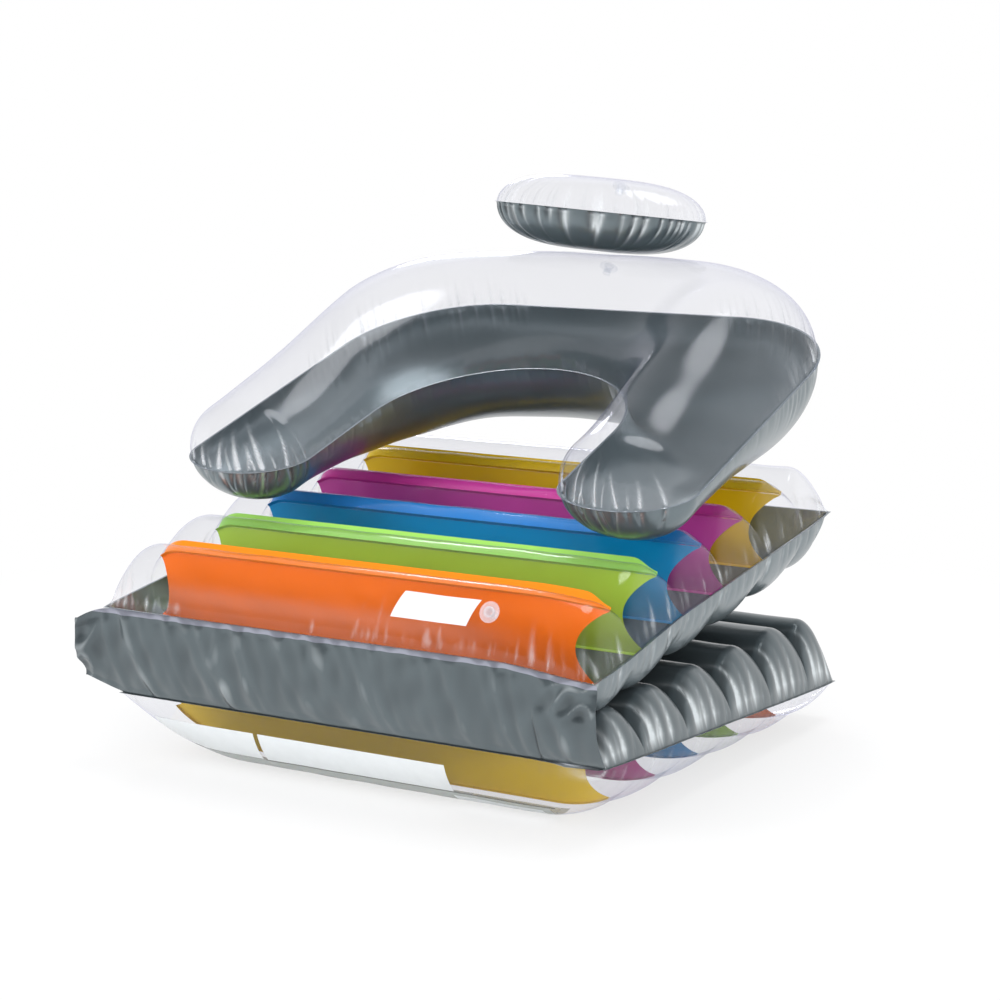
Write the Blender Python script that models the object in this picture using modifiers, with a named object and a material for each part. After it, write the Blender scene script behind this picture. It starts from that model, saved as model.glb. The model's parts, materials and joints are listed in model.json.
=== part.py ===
"""Inflatable pool lounger, folded for use as a seat.

Two ribbed air mattresses, the seat and the leg section, are joined along their front
edges by a strip of film. A U-shaped backrest tube rests on the seat with the ends of its
arms, and a pillow sits on its crown. Every air chamber has a clear upper sheet and a
silver lower sheet, welded edge to edge, and coloured ribs hold the two mattresses flat.
Metres, +Z up. +X is the lounger's right as seen from the front, +Y points to its rear.
"""
import bpy
import bmesh
from math import sin, cos, pi, radians, sqrt, hypot, atan2
from mathutils import Vector

# Film and clearances
FILM = 0.0004               # thickness of every sheet
GAP = 0.0003                # clearance between pieces that touch
SEAM_GAP = 0.0010           # clearance between two sheets along their weld

# Mattress sections
SECTION_WIDTH = 0.92        # seam to seam, across
SECTION_DEPTH = 0.87        # seam to seam, front to rear
RIB_COUNT = 5
FIRST_RIB = 0.1265          # front seam to the first rib
RIB_PITCH = 0.156
CORNER_SHARE = 0.02         # how much the sides draw in towards the corners
CORNER_POWER = 8            # how late along the sides they do
CELLS_PER_TUBE = 5
CELLS_ACROSS = 14
END_CELLS = 3               # of these, how many lie on each rounded end

# Seat section, tilted up to the rear
SEAT_TILT = radians(7.4)
SEAT_SEAM_Y = -0.0355       # front seam
SEAT_SEAM_Z = 0.2684
SEAT_RIB_UP = 0.074         # rib height above the seam plane
SEAT_CROWN_UP = 0.036       # rise of its tubes between the ribs, above and below
SEAT_CROWN_DOWN = 0.024
SEAT_ROUND_UP = 0.045       # how far its tubes' ends curve in from the seam
SEAT_ROUND_DOWN = 0.060

# Leg section, folded upside down on the floor
LEG_SEAM_FRONT = 0.115      # seam height above the floor at the front and at the rear
LEG_SEAM_REAR = 0.068
LEG_TOP = 0.163             # height of the rib lines on its upper side
LEG_CROWN_UP = 0.034
LEG_ROUND_UP = 0.045
LEG_ROUND_DOWN = 0.090
LEG_FLOOR_LIFT = 0.012      # height of the rib lines above the floor
FLOOR_PRESS = 0.0030        # how much the tubes flatten on the floor

# Hinge strip
STRIP_LEFT = 0.478          # half width at the left, past the corner of the sections
STRIP_RIGHT = 0.455
STRIP_BULGE = 0.016         # how far it bows out at mid height
STRIP_RIPPLE = 0.0035
STRIP_WAVES = 11
STRIP_ROWS = 5
HINGE_SET = 0.0008          # each section's seam behind its hinge line on the strip

# Ribs
RIB_END_CLEARANCE = 0.007   # from the ribs' ends to where the tubes round off
RIB_END_HOLLOW = 0.055      # depth of the hollow at each free end
RIB_FLANGE = 0.014          # width of its weld flanges
RIB_END_POINTS = 6
RIB_LAP = FILM / 3           # how deep the web reaches into its flanges

# Backrest tube
BACK_TILT = radians(17.2)
BACK_OVERHANG = 0.007       # how far the outer seam stands out past the seat's side seams
ARM_WIDTH = 0.236           # outer seam to inner seam
BACK_OUTER = SECTION_WIDTH / 2 + BACK_OVERHANG
BACK_INNER = BACK_OUTER - ARM_WIDTH
BACK_LENGTH = 0.774         # arm tips to the rear seam
BACK_INNER_LENGTH = 0.502   # arm tips to the inner seam of the crown
BACK_CORNER = 0.231         # radius of the outer corners
BACK_SPLAY = 0.015          # how far the arms spread at their tips
ARM_RISE = 0.100            # upper and lower half thickness at the tips
ARM_DROP = 0.080            # also the radius of their round noses
CROWN_RISE = 0.156          # the same at the crown
CROWN_DROP = 0.143
CROWN_REACH_SHARE = 0.6     # of the way from tip to crown, where the tube is at its thickest
BACK_TIP_REACH = 0.3143     # seat's front seam to the tips' centres, along the seat
BACK_STATIONS = 15          # cross-sections from one tip to the middle of the crown
NOSE_STATIONS = 4
TUBE_CELLS = 8              # faces over half of a tube's girth
ARC_STEPS = 24

# Headrest pillow
PILLOW_LENGTH = 0.404
PILLOW_DEPTH = 0.190
PILLOW_UP = 0.060           # rise above and drop below its seam
PILLOW_DOWN = 0.070
PILLOW_SETBACK = 0.037      # centre of the pillow behind the middle of the crown
PILLOW_ROLL = radians(3.5)  # right end down
PILLOW_PITCH = radians(5.5) # front edge up
PILLOW_FULLNESS = 3.3       # exponent of its upright profile
PILLOW_ROUND_SHARE = 0.8    # exponent of its oval outline
PILLOW_RINGS = 5
PILLOW_SEGMENTS = 32
EQUATOR_MARGIN = 0.01       # of the radius, when a ball is halved

# Weld patches
ARM_PATCH_RADIUS = 0.022
ARM_PATCH_THICK = 0.0020
PILLOW_WEB_LENGTH = 0.120
PILLOW_WEB_WIDTH = 0.0030
PILLOW_WEB_HEIGHT = 0.0022
PILLOW_WEB_GAP = 0.0004

# Valves
FLANGE_RADIUS = 0.017
FLANGE_THICK = 0.0012
NECK_RADIUS = 0.0075
BORE_RADIUS = 0.0055
NECK_DEPTH = 0.0140
STOPPER_RADIUS = 0.0090
STOPPER_THICK = 0.0018
PLUG_DEPTH = 0.0085
VALVE_HOLE_CLEARANCE = 0.0010
VALVE_STEPS = 24
SEAT_VALVE = (0.270, 0.0255)    # across, and back from the front seam
LEG_VALVE_INSET = 0.010         # before the leg section's rear seam
LEG_VALVE = (0.230, SECTION_DEPTH - LEG_VALVE_INSET)
BACK_VALVE_DROP = radians(52)   # round the crown tube from its top, towards the rear
PILLOW_VALVE_DROP = radians(50)

OVERRUN = 0.02              # how far a cutter passes through a sheet
SMOOTH_ANGLE = radians(40)
SLOPE_STEP = 0.002          # either side of the point where a slope is taken
SEARCH_STEPS = 400          # places tried when one piece is set down on another
HALVINGS = 30

COLOURS = {
    "clear_film": ((0.90, 0.92, 0.95), 0.06, 0.0),
    "silver_film": ((0.17, 0.20, 0.22), 0.22, 0.55),
    "orange": ((0.86, 0.19, 0.005), 0.30, 0.0),
    "green": ((0.33, 0.56, 0.06), 0.30, 0.0),
    "blue": ((0.01, 0.24, 0.58), 0.30, 0.0),
    "magenta": ((0.50, 0.06, 0.30), 0.30, 0.0),
    "yellow": ((0.72, 0.42, 0.01), 0.30, 0.0),
    "valve": ((0.80, 0.83, 0.86), 0.20, 0.0),
    "stopper": ((0.80, 0.83, 0.86), 0.35, 0.0),
}
RIB_COLOURS = ("orange", "green", "blue", "magenta", "yellow")


def clear_scene():
    for obj in list(bpy.data.objects):
        bpy.data.objects.remove(obj, do_unlink=True)


def collection(name):
    coll = bpy.data.collections.new(name)
    bpy.context.scene.collection.children.link(coll)
    return coll


def material(name):
    mat = bpy.data.materials.get(name)
    if mat is None:
        colour, roughness, metallic = COLOURS[name]
        mat = bpy.data.materials.new(name)
        mat.use_nodes = True
        shader = mat.node_tree.nodes["Principled BSDF"]
        shader.inputs["Base Color"].default_value = (*colour, 1.0)
        shader.inputs["Roughness"].default_value = roughness
        shader.inputs["Metallic"].default_value = metallic
    return mat


def frame(name, parent=None, location=(0, 0, 0), tilt=0.0):
    """An empty that carries pieces: a section's plane or a joint's axis."""
    empty = bpy.data.objects.new(name, None)
    PARTS.objects.link(empty)
    empty.parent = parent
    empty.location = location
    empty.rotation_euler = (tilt, 0, 0)
    return empty


def add_piece(name, mesh, finish, parent):
    """Make a mesh a named piece of the lounger, placed in its parent's frame."""
    obj = bpy.data.objects.new(name, mesh)
    PARTS.objects.link(obj)
    obj.parent = parent
    mesh.materials.clear()
    mesh.materials.append(material(finish))
    return obj


def smooth(mesh):
    mesh.shade_smooth()
    mesh.set_sharp_from_angle(angle=SMOOTH_ANGLE)


def mesh_from(bm, name):
    mesh = bpy.data.meshes.new(name)
    bm.to_mesh(mesh)
    bm.free()
    return mesh


def face_out(bm, direction):
    """Turn an open sheet so that its faces look towards direction on the whole."""
    bmesh.ops.recalc_face_normals(bm, faces=bm.faces)
    total = sum((f.normal * f.calc_area() for f in bm.faces), Vector())
    if total.dot(Vector(direction)) < 0:
        bmesh.ops.reverse_faces(bm, faces=bm.faces)


def wall(obj):
    """Give an open sheet its film thickness, inward from the outer skin."""
    mod = obj.modifiers.new("film", "SOLIDIFY")
    mod.thickness = FILM
    mod.offset = -1.0
    return mod


def sheet_from_grid(name, columns, rows, place, direction, finish, parent):
    """A film sheet: a grid whose points are set by place(u, v), u and v from -1 to 1."""
    bm = bmesh.new()
    bmesh.ops.create_grid(bm, x_segments=columns, y_segments=rows, size=1.0)
    for vert in bm.verts:
        vert.co = Vector(place(vert.co.x, vert.co.y))
    bmesh.ops.remove_doubles(bm, verts=bm.verts, dist=GAP / 4)
    face_out(bm, direction)
    mesh = mesh_from(bm, name)
    smooth(mesh)
    obj = add_piece(name, mesh, finish, parent)
    wall(obj)
    return obj


# Mattress sections

def rib_places():
    return [FIRST_RIB + i * RIB_PITCH for i in range(RIB_COUNT)]


def tube_edges():
    return [0.0] + rib_places() + [SECTION_DEPTH]


def tube_rows():
    """Distances from the front seam at which a sheet has its rows of points."""
    edges = tube_edges()
    rows = []
    for i, (near, far) in enumerate(zip(edges, edges[1:])):
        for k in range(CELLS_PER_TUBE):
            s = k / CELLS_PER_TUBE
            if i == 0:
                s = 1 - cos(s * pi / 2)
            if i == RIB_COUNT:
                s = sin(s * pi / 2)
            rows.append(near + (far - near) * s)
    return rows + [SECTION_DEPTH]


def end_factor(distance, reach):
    """Elliptical fall to the seam: 0 at the seam, 1 from reach inwards."""
    s = min(max(distance / reach, 0.0), 1.0)
    return sqrt(1 - (1 - s) ** 2)


def tube_height(t, level, bulge):
    """Distance of a sheet from the seam plane along the middle of the section."""
    edges = tube_edges()
    for i, (near, far) in enumerate(zip(edges, edges[1:])):
        if t <= far or i == RIB_COUNT:
            break
    s = (t - near) / (far - near)
    if i == 0:
        round_off = end_factor(s, 1.0)
    elif i == RIB_COUNT:
        round_off = end_factor(1 - s, 1.0)
    else:
        round_off = 1.0
    return level * round_off + bulge * sin(pi * min(max(s, 0.0), 1.0))


def leg_seam_drop(t):
    return (LEG_SEAM_FRONT - LEG_SEAM_REAR) * t / SECTION_DEPTH


def seat_up(t):
    return tube_height(t, SEAT_RIB_UP, SEAT_CROWN_UP)


def seat_down(t):
    return -tube_height(t, seat_rib_down, SEAT_CROWN_DOWN)


def leg_up(t):
    drop = leg_seam_drop(t)
    return tube_height(t, LEG_TOP - LEG_SEAM_FRONT + drop, LEG_CROWN_UP) - drop


def leg_down(t):
    drop = leg_seam_drop(t)
    depth = LEG_SEAM_FRONT - drop - LEG_FLOOR_LIFT
    bulge = LEG_FLOOR_LIFT + FLOOR_PRESS
    return -tube_height(t, depth, bulge) - drop


def rest_gap(depth):
    """Least height of the seat's underside over the leg section, for ribs that deep."""
    gaps = []
    for k in range(1, SEARCH_STEPS):
        t = SECTION_DEPTH * k / SEARCH_STEPS
        n = -tube_height(t, depth, SEAT_CROWN_DOWN)
        y = SEAT_SEAM_Y + t * cos(SEAT_TILT) - n * sin(SEAT_TILT)
        z = SEAT_SEAM_Z + t * sin(SEAT_TILT) + n * cos(SEAT_TILT)
        if 0 < y < SECTION_DEPTH:
            gaps.append(z - LEG_SEAM_FRONT - leg_up(y))
    return min(gaps) - SEAM_GAP - GAP


def resting_depth():
    """Depth of the seat's ribs below its seam plane, with its front tubes on the leg section."""
    low, high = 0.0, SEAT_SEAM_Z
    for _ in range(HALVINGS):
        middle = (low + high) / 2
        low, high = (middle, high) if rest_gap(middle) > 0 else (low, middle)
    return low


def side_place(u, t):
    """Distance across for grid value u, drawn in near the section's corners."""
    half = SECTION_DEPTH / 2
    v = (t - half) / half
    return u * SECTION_WIDTH / 2 * sqrt(1 - CORNER_SHARE * v ** CORNER_POWER)


def across(u, end_round):
    """Spread the columns so that the rounded tube ends get their share of points."""
    inner = 1 - end_round / (SECTION_WIDTH / 2)
    edge = 1 - 2 * END_CELLS / CELLS_ACROSS
    if abs(u) <= edge:
        return u / edge * inner
    s = (abs(u) - edge) / (1 - edge)
    return (inner + (1 - inner) * sin(s * pi / 2)) * (1 if u > 0 else -1)


def mattress_sheet(name, height, seam, side, end_round, finish, parent, floor=None):
    """One sheet of a mattress: six tubes across, falling to the seam all round."""
    rows = tube_rows()
    last = len(rows) - 1

    def place(u, v):
        t = rows[round((v + 1) / 2 * last)]
        a = across(u, end_round)
        x = side_place(a, t)
        edge = seam(t)
        reach = (1 - abs(a)) * SECTION_WIDTH / 2
        n = edge + (height(t) - edge) * end_factor(reach, end_round) + side * SEAM_GAP / 2
        if floor is not None:
            n = max(n, floor)
        return x, t, n

    return sheet_from_grid(name, CELLS_ACROSS, last, place, (0, 0, side), finish, parent)


def level_seam(t):
    return 0.0


def leg_seam(t):
    return -leg_seam_drop(t)


# Ribs

def rib_half(end_round):
    """Half the length of a weld edge on a sheet whose tube ends are rounded like that."""
    return SECTION_WIDTH / 2 - end_round - RIB_END_CLEARANCE


def rib_outline(low, high, half_low, half_high):
    """Upright outline of a rib's web: straight weld edges and hollow free ends."""
    right = []
    for k in range(RIB_END_POINTS + 1):
        s = k / RIB_END_POINTS
        x = half_low + (half_high - half_low) * s - RIB_END_HOLLOW * 4 * s * (1 - s)
        right.append((x, low + (high - low) * s))
    return right + [(-x, z) for x, z in reversed(right)]


def flat_outline(bm, points, thickness):
    """A closed plate in the XZ plane, centred on y = 0."""
    front = [bm.verts.new((x, -thickness / 2, z)) for x, z in points]
    face = bm.faces.new(front)
    result = bmesh.ops.extrude_face_region(bm, geom=[face])
    moved = [v for v in result["geom"] if isinstance(v, bmesh.types.BMVert)]
    bmesh.ops.translate(bm, verts=moved, vec=(0, thickness, 0))
    bmesh.ops.recalc_face_normals(bm, faces=bm.faces)


def rib_flange_mesh(z_low, half):
    bm = bmesh.new()
    bmesh.ops.create_cube(bm, size=1.0)
    bmesh.ops.scale(bm, vec=(2 * half - FILM, RIB_FLANGE, FILM), verts=bm.verts)
    bmesh.ops.translate(bm, vec=(0, 0, z_low + FILM / 2), verts=bm.verts)
    return mesh_from(bm, "rib_flange")


def rib(name, t, low, high, half_low, half_high, finish, parent):
    """A welded rib: a thin web with a flange along its upper and its lower edge."""
    bottom, top = low + FILM + GAP, high - FILM - GAP
    bm = bmesh.new()
    flat_outline(bm, rib_outline(bottom + RIB_LAP, top - RIB_LAP, half_low, half_high), FILM)
    obj = add_piece(name, mesh_from(bm, name), finish, parent)
    obj.location = (0, t, 0)
    for z_low, half in ((bottom, half_low), (top - FILM, half_high)):
        tool = bpy.data.objects.new(name + "_flange_tool", rib_flange_mesh(z_low, half))
        CUTTERS.objects.link(tool)
        tool.parent = parent
        tool.location = (0, t, 0)
        hide_tool(tool)
        join = obj.modifiers.new("flange", "BOOLEAN")
        join.operation = "UNION"
        join.solver = "EXACT"
        join.object = tool
    return obj


def hide_tool(tool):
    tool.hide_render = True
    tool.display_type = "WIRE"


# Hinge strip

def hinge_strip(parent, length):
    """The web of film between the two front seams, bowed forward and rippled."""
    start, end = GAP * 2, length - GAP * 2

    def place(u, v):
        half = STRIP_RIGHT if u > 0 else STRIP_LEFT
        s = (v + 1) / 2
        ripple = STRIP_RIPPLE * sin(u * STRIP_WAVES * pi / 2)
        bow = (STRIP_BULGE + ripple) * sin(pi * s)
        return u * half, -bow, -(start + (end - start) * s)

    columns = STRIP_WAVES * 4
    return sheet_from_grid("hinge_strip", columns, STRIP_ROWS, place, (0, -1, 0), "silver_film",
                           parent)


# Backrest tube

def walk(points, share):
    """The point a given share of the way along a polyline."""
    lengths = [hypot(b[0] - a[0], b[1] - a[1]) for a, b in zip(points, points[1:])]
    left = share * sum(lengths)
    for (a, b), length in zip(zip(points, points[1:]), lengths):
        if left <= length:
            f = left / length
            return a[0] + (b[0] - a[0]) * f, a[1] + (b[1] - a[1]) * f
        left -= length
    return points[-1]


def arc(cx, cy, radius):
    """A quarter turn from the right to the rear."""
    angles = [pi / 2 * k / ARC_STEPS for k in range(ARC_STEPS + 1)]
    return [(cx + radius * cos(a), cy + radius * sin(a)) for a in angles]


def splay(t):
    straight = BACK_LENGTH - BACK_CORNER
    return BACK_SPLAY * max(0.0, 1 - t / straight)


def outer_seam():
    start = [(BACK_OUTER, ARM_DROP)]
    corner = arc(BACK_OUTER - BACK_CORNER, BACK_LENGTH - BACK_CORNER, BACK_CORNER)
    return start + corner + [(0.0, BACK_LENGTH)]


def inner_seam():
    start = [(BACK_INNER, ARM_DROP)]
    return start + arc(0.0, BACK_INNER_LENGTH - BACK_INNER, BACK_INNER)


def back_section(k, tip, crown):
    """Inner and outer seam points and the half thickness at station k, counted from a tip."""
    if k < NOSE_STATIONS:
        angle = pi / 2 * (1 - k / NOSE_STATIONS)
        half = (BACK_OUTER - BACK_INNER) / 2 * cos(angle)
        t = ARM_DROP * (1 - sin(angle))
        return (arm_middle() - half, t), (arm_middle() + half, t), tip * cos(angle)
    share = (k - NOSE_STATIONS) / BACK_STATIONS
    outer = walk(outer_seam(), share)
    inner = walk(inner_seam(), share)
    rise = min(share / CROWN_REACH_SHARE, 1.0)
    rise = rise * rise * (3 - 2 * rise)
    return ((inner[0] + splay(inner[1]), inner[1]),
            (outer[0] + splay(outer[1]), outer[1]), tip + (crown - tip) * rise)


def arm_middle():
    return (BACK_OUTER + BACK_INNER) / 2 + splay(ARM_DROP)


def backrest_sheet(name, side, tip, crown, finish, parent):
    """Upper or lower half of the U-shaped tube. Its frame's axis joins the tips' centres."""
    half_count = BACK_STATIONS + NOSE_STATIONS

    def place(u, v):
        index = round((v + 1) * half_count)
        k = min(index, 2 * half_count - index)
        mirror = -1 if index > half_count else 1
        inner, outer, thick = back_section(k, tip, crown)
        angle = u * pi / 2
        across_share = sin(angle)
        x = (inner[0] + outer[0]) / 2 + (outer[0] - inner[0]) / 2 * across_share
        t = (inner[1] + outer[1]) / 2 + (outer[1] - inner[1]) / 2 * across_share
        return mirror * x, t - ARM_DROP, side * (thick * cos(angle) + SEAM_GAP / 2)

    return sheet_from_grid(name, TUBE_CELLS, 2 * half_count, place, (0, 0, side), finish, parent)


# Headrest pillow

def pillow_sheet(name, side, rise, finish, parent):
    """Upper or lower half of the pillow: an oval dome."""
    bm = bmesh.new()
    bmesh.ops.create_uvsphere(bm, u_segments=PILLOW_SEGMENTS, v_segments=2 * PILLOW_RINGS, radius=1.0)
    spare = [v for v in bm.verts if v.co.z * side < -EQUATOR_MARGIN]
    bmesh.ops.delete(bm, geom=spare, context="VERTS")
    for vert in bm.verts:
        x, y, z = vert.co
        ring = hypot(x, y)
        angle = atan2(y, x)
        ex, ey = oval(cos(angle)), oval(sin(angle))
        dome = rise * pillow_dome(ring) if abs(z) > EQUATOR_MARGIN else 0
        vert.co = (PILLOW_LENGTH / 2 * ring * ex, PILLOW_DEPTH / 2 * ring * ey,
                   side * (dome + SEAM_GAP / 2))
    face_out(bm, (0, 0, side))
    mesh = mesh_from(bm, name)
    smooth(mesh)
    obj = add_piece(name, mesh, finish, parent)
    wall(obj)
    return obj


def oval(value):
    return abs(value) ** PILLOW_ROUND_SHARE * (1 if value > 0 else -1)


def pillow_dome(ring):
    """Share of the pillow's rise at a share of the way from its middle to its seam."""
    return sqrt(1 - min(1, ring) ** PILLOW_FULLNESS)


# Weld patches

def disc(name, radius, thickness, finish, parent, location, tilt=0.0):
    bm = bmesh.new()
    bmesh.ops.create_cone(bm, cap_ends=True, segments=VALVE_STEPS, radius1=radius,
                          radius2=radius, depth=thickness)
    obj = add_piece(name, mesh_from(bm, name), finish, parent)
    obj.location = location
    obj.rotation_euler = (tilt, 0, 0)
    smooth(obj.data)
    return obj


def bar(name, size, finish, parent, location):
    bm = bmesh.new()
    bmesh.ops.create_cube(bm, size=1.0)
    bmesh.ops.scale(bm, vec=size, verts=bm.verts)
    obj = add_piece(name, mesh_from(bm, name), finish, parent)
    obj.location = location
    return obj


# Valves

def turned(name, profile, finish, parent):
    """A turned piece about its own Z axis, from a profile of (radius, height) points."""
    bm = bmesh.new()
    verts = [bm.verts.new((r, 0, z)) for r, z in profile]
    closed = profile[0][0] > 0
    for a, b in zip(verts, verts[1:] + (verts[:1] if closed else [])):
        bm.edges.new((a, b))
    obj = add_piece(name, mesh_from(bm, name), finish, parent)
    screw = obj.modifiers.new("turn", "SCREW")
    screw.steps = VALVE_STEPS
    screw.render_steps = VALVE_STEPS
    screw.use_merge_vertices = True
    screw.merge_threshold = GAP / 4
    screw.use_smooth_shade = False
    return obj


def valve(prefix, sheet, parent, point, outward):
    """A push-in valve: a flange on the film, a neck through it, and a stopper."""
    location = Vector(point) + Vector(outward) * GAP
    turn = Vector((0, 0, 1)).rotation_difference(Vector(outward)).to_euler()
    bm = bmesh.new()
    bmesh.ops.create_cone(bm, cap_ends=True, segments=VALVE_STEPS, depth=2 * OVERRUN,
                          radius1=NECK_RADIUS + VALVE_HOLE_CLEARANCE,
                          radius2=NECK_RADIUS + VALVE_HOLE_CLEARANCE)
    hole = bpy.data.objects.new(prefix + "_valve_hole", mesh_from(bm, prefix + "_valve_hole"))
    CUTTERS.objects.link(hole)
    hole.parent = parent
    hole.location = location
    hole.rotation_euler = turn
    hide_tool(hole)
    cut = sheet.modifiers.new("valve_hole", "BOOLEAN")
    cut.operation = "DIFFERENCE"
    cut.solver = "EXACT"
    cut.object = hole

    body = turned(prefix + "_valve_body",
                  [(BORE_RADIUS, FLANGE_THICK), (FLANGE_RADIUS, FLANGE_THICK), (FLANGE_RADIUS, 0),
                   (NECK_RADIUS, 0), (NECK_RADIUS, -NECK_DEPTH), (BORE_RADIUS, -NECK_DEPTH)],
                  "valve", parent)
    cap_low = FLANGE_THICK + GAP
    cap_high = cap_low + STOPPER_THICK
    plug = BORE_RADIUS - GAP
    stopper = turned(prefix + "_valve_stopper",
                     [(0, cap_high), (STOPPER_RADIUS, cap_high), (STOPPER_RADIUS, cap_low),
                      (plug, cap_low), (plug, -PLUG_DEPTH), (0, -PLUG_DEPTH)],
                     "stopper", parent)
    for obj in (body, stopper):
        obj.location = location
        obj.rotation_euler = turn


def curve_normal(height, t):
    """Outward unit normal of a section's upper or lower line at t, in the YZ plane."""
    slope = (height(t + SLOPE_STEP) - height(t - SLOPE_STEP)) / (2 * SLOPE_STEP)
    side = 1 if height(t) > 0 else -1
    length = hypot(slope, 1)
    return Vector((0, -side * slope / length, side / length))


# Resting heights

def turned_point(y, z, angle):
    return y * cos(angle) - z * sin(angle), y * sin(angle) + z * cos(angle)


def arm_underside():
    """Line under an arm from its tip to the crown, in the seat's plane."""
    line = []
    for k in range(NOSE_STATIONS + BACK_STATIONS):
        inner, outer, thick = back_section(k, ARM_DROP, CROWN_DROP)
        t = (inner[1] + outer[1]) / 2 - ARM_DROP
        line.append(turned_point(t, -thick - SEAM_GAP / 2, BACK_TILT - SEAT_TILT))
    return line


def back_axis_height():
    """Height of the arm tips' axis over the seat's seam plane, and where the arms touch."""
    best = None
    for k in range(SEARCH_STEPS):
        y, z = walk(arm_underside(), k / SEARCH_STEPS)
        t = BACK_TIP_REACH + y
        if t < SECTION_DEPTH and (best is None or seat_up(t) - z > best[0]):
            best = (seat_up(t) - z, t)
    height, touch = best
    clear = (ARM_PATCH_THICK + 2 * GAP) / curve_normal(seat_up, touch).z
    return height + SEAM_GAP / 2 + clear, touch


def height_at(points, y):
    """Height of a polyline over y, its points in order of y."""
    for a, b in zip(points, points[1:]):
        if a[0] <= y <= b[0]:
            return a[1] + (b[1] - a[1]) * (y - a[0]) / (b[0] - a[0])
    return None


def pillow_low_point(share):
    """Lowest point of the leaning pillow at a share of its half depth, from its middle."""
    power = 2 / PILLOW_ROUND_SHARE
    lowest = None
    for k in range(SEARCH_STEPS):
        along = k / SEARCH_STEPS
        ring = (along ** power + abs(share) ** power) ** (1 / power)
        dome = PILLOW_DOWN * pillow_dome(ring) + SEAM_GAP / 2
        y, z = turned_point(PILLOW_DEPTH / 2 * share, -dome, -PILLOW_PITCH)
        z = z * cos(PILLOW_ROLL) - PILLOW_LENGTH / 2 * along * sin(PILLOW_ROLL)
        if ring <= 1 and (lowest is None or z < lowest[1]):
            lowest = (PILLOW_SETBACK + y, z)
    return lowest


def pillow_height():
    """Height of the pillow's seam over the crown's middle, and the point that it rests on."""
    half_width = (BACK_LENGTH - BACK_INNER_LENGTH) / 2
    crown = []
    for k in range(TUBE_CELLS + 1):
        angle = pi * k / TUBE_CELLS
        y, z = half_width * cos(angle), CROWN_RISE * sin(angle) + SEAM_GAP / 2
        crown.append(turned_point(y, z, BACK_TILT))
    under = [pillow_low_point(sin(pi / 2 * k / PILLOW_RINGS))
             for k in range(-PILLOW_RINGS, PILLOW_RINGS + 1)]
    best = None
    for k in range(SEARCH_STEPS):
        y, z = walk(crown, k / SEARCH_STEPS)
        low = height_at(under, y)
        if low is not None and (best is None or z - low > best[0]):
            best = (z - low, y, z)
    clear = PILLOW_WEB_HEIGHT + GAP + PILLOW_WEB_GAP
    return best[0] + clear, best[1], best[2]


# Assembly

def make_seat():
    hinge = frame("seat_front_axis", None, (0, SEAT_SEAM_Y, SEAT_SEAM_Z), SEAT_TILT)
    plane = frame("seat_plane", hinge, (0, HINGE_SET, 0))
    clear = mattress_sheet("seat_clear_sheet", seat_up, level_seam, 1, SEAT_ROUND_UP,
                           "clear_film", plane)
    mattress_sheet("seat_silver_sheet", seat_down, level_seam, -1, SEAT_ROUND_DOWN,
                   "silver_film", plane)
    for i, t in enumerate(rib_places()):
        rib(f"seat_rib_{i + 1}_{RIB_COLOURS[i]}", t, seat_down(t) - SEAM_GAP / 2,
            seat_up(t) + SEAM_GAP / 2, rib_half(SEAT_ROUND_DOWN), rib_half(SEAT_ROUND_UP),
            RIB_COLOURS[i], plane)
    x, t = SEAT_VALVE
    valve("seat", clear, plane, (x, t, seat_up(t) + SEAM_GAP / 2), curve_normal(seat_up, t))
    return hinge, plane


def make_strip(seat):
    """The strip hangs from the seat's front seam and ends at the leg section's."""
    drop = SEAT_SEAM_Z - LEG_SEAM_FRONT
    length = hypot(SEAT_SEAM_Y, drop)
    lean = atan2(-SEAT_SEAM_Y, drop)
    strip = frame("hinge_strip_axis", seat, (0, 0, 0), lean - SEAT_TILT)
    hinge_strip(strip, length)
    return strip


def make_leg():
    axis = frame("leg_axis", None, (0, 0, LEG_SEAM_FRONT))
    plane = frame("leg_plane", axis, (0, HINGE_SET, 0))
    clear = mattress_sheet("leg_clear_sheet", leg_down, leg_seam, -1, LEG_ROUND_DOWN,
                           "clear_film", plane, floor=-LEG_SEAM_FRONT)
    mattress_sheet("leg_silver_sheet", leg_up, leg_seam, 1, LEG_ROUND_UP, "silver_film", plane)
    for i, t in enumerate(rib_places()):
        colour = RIB_COLOURS[RIB_COUNT - 1 - i]
        rib(f"leg_rib_{i + 1}_{colour}", t, leg_down(t) - SEAM_GAP / 2,
            leg_up(t) + SEAM_GAP / 2, rib_half(LEG_ROUND_DOWN), rib_half(LEG_ROUND_UP),
            colour, plane)
    x, t = LEG_VALVE
    valve("leg", clear, plane, (x, t, leg_down(t) - SEAM_GAP / 2), curve_normal(leg_down, t))


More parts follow.
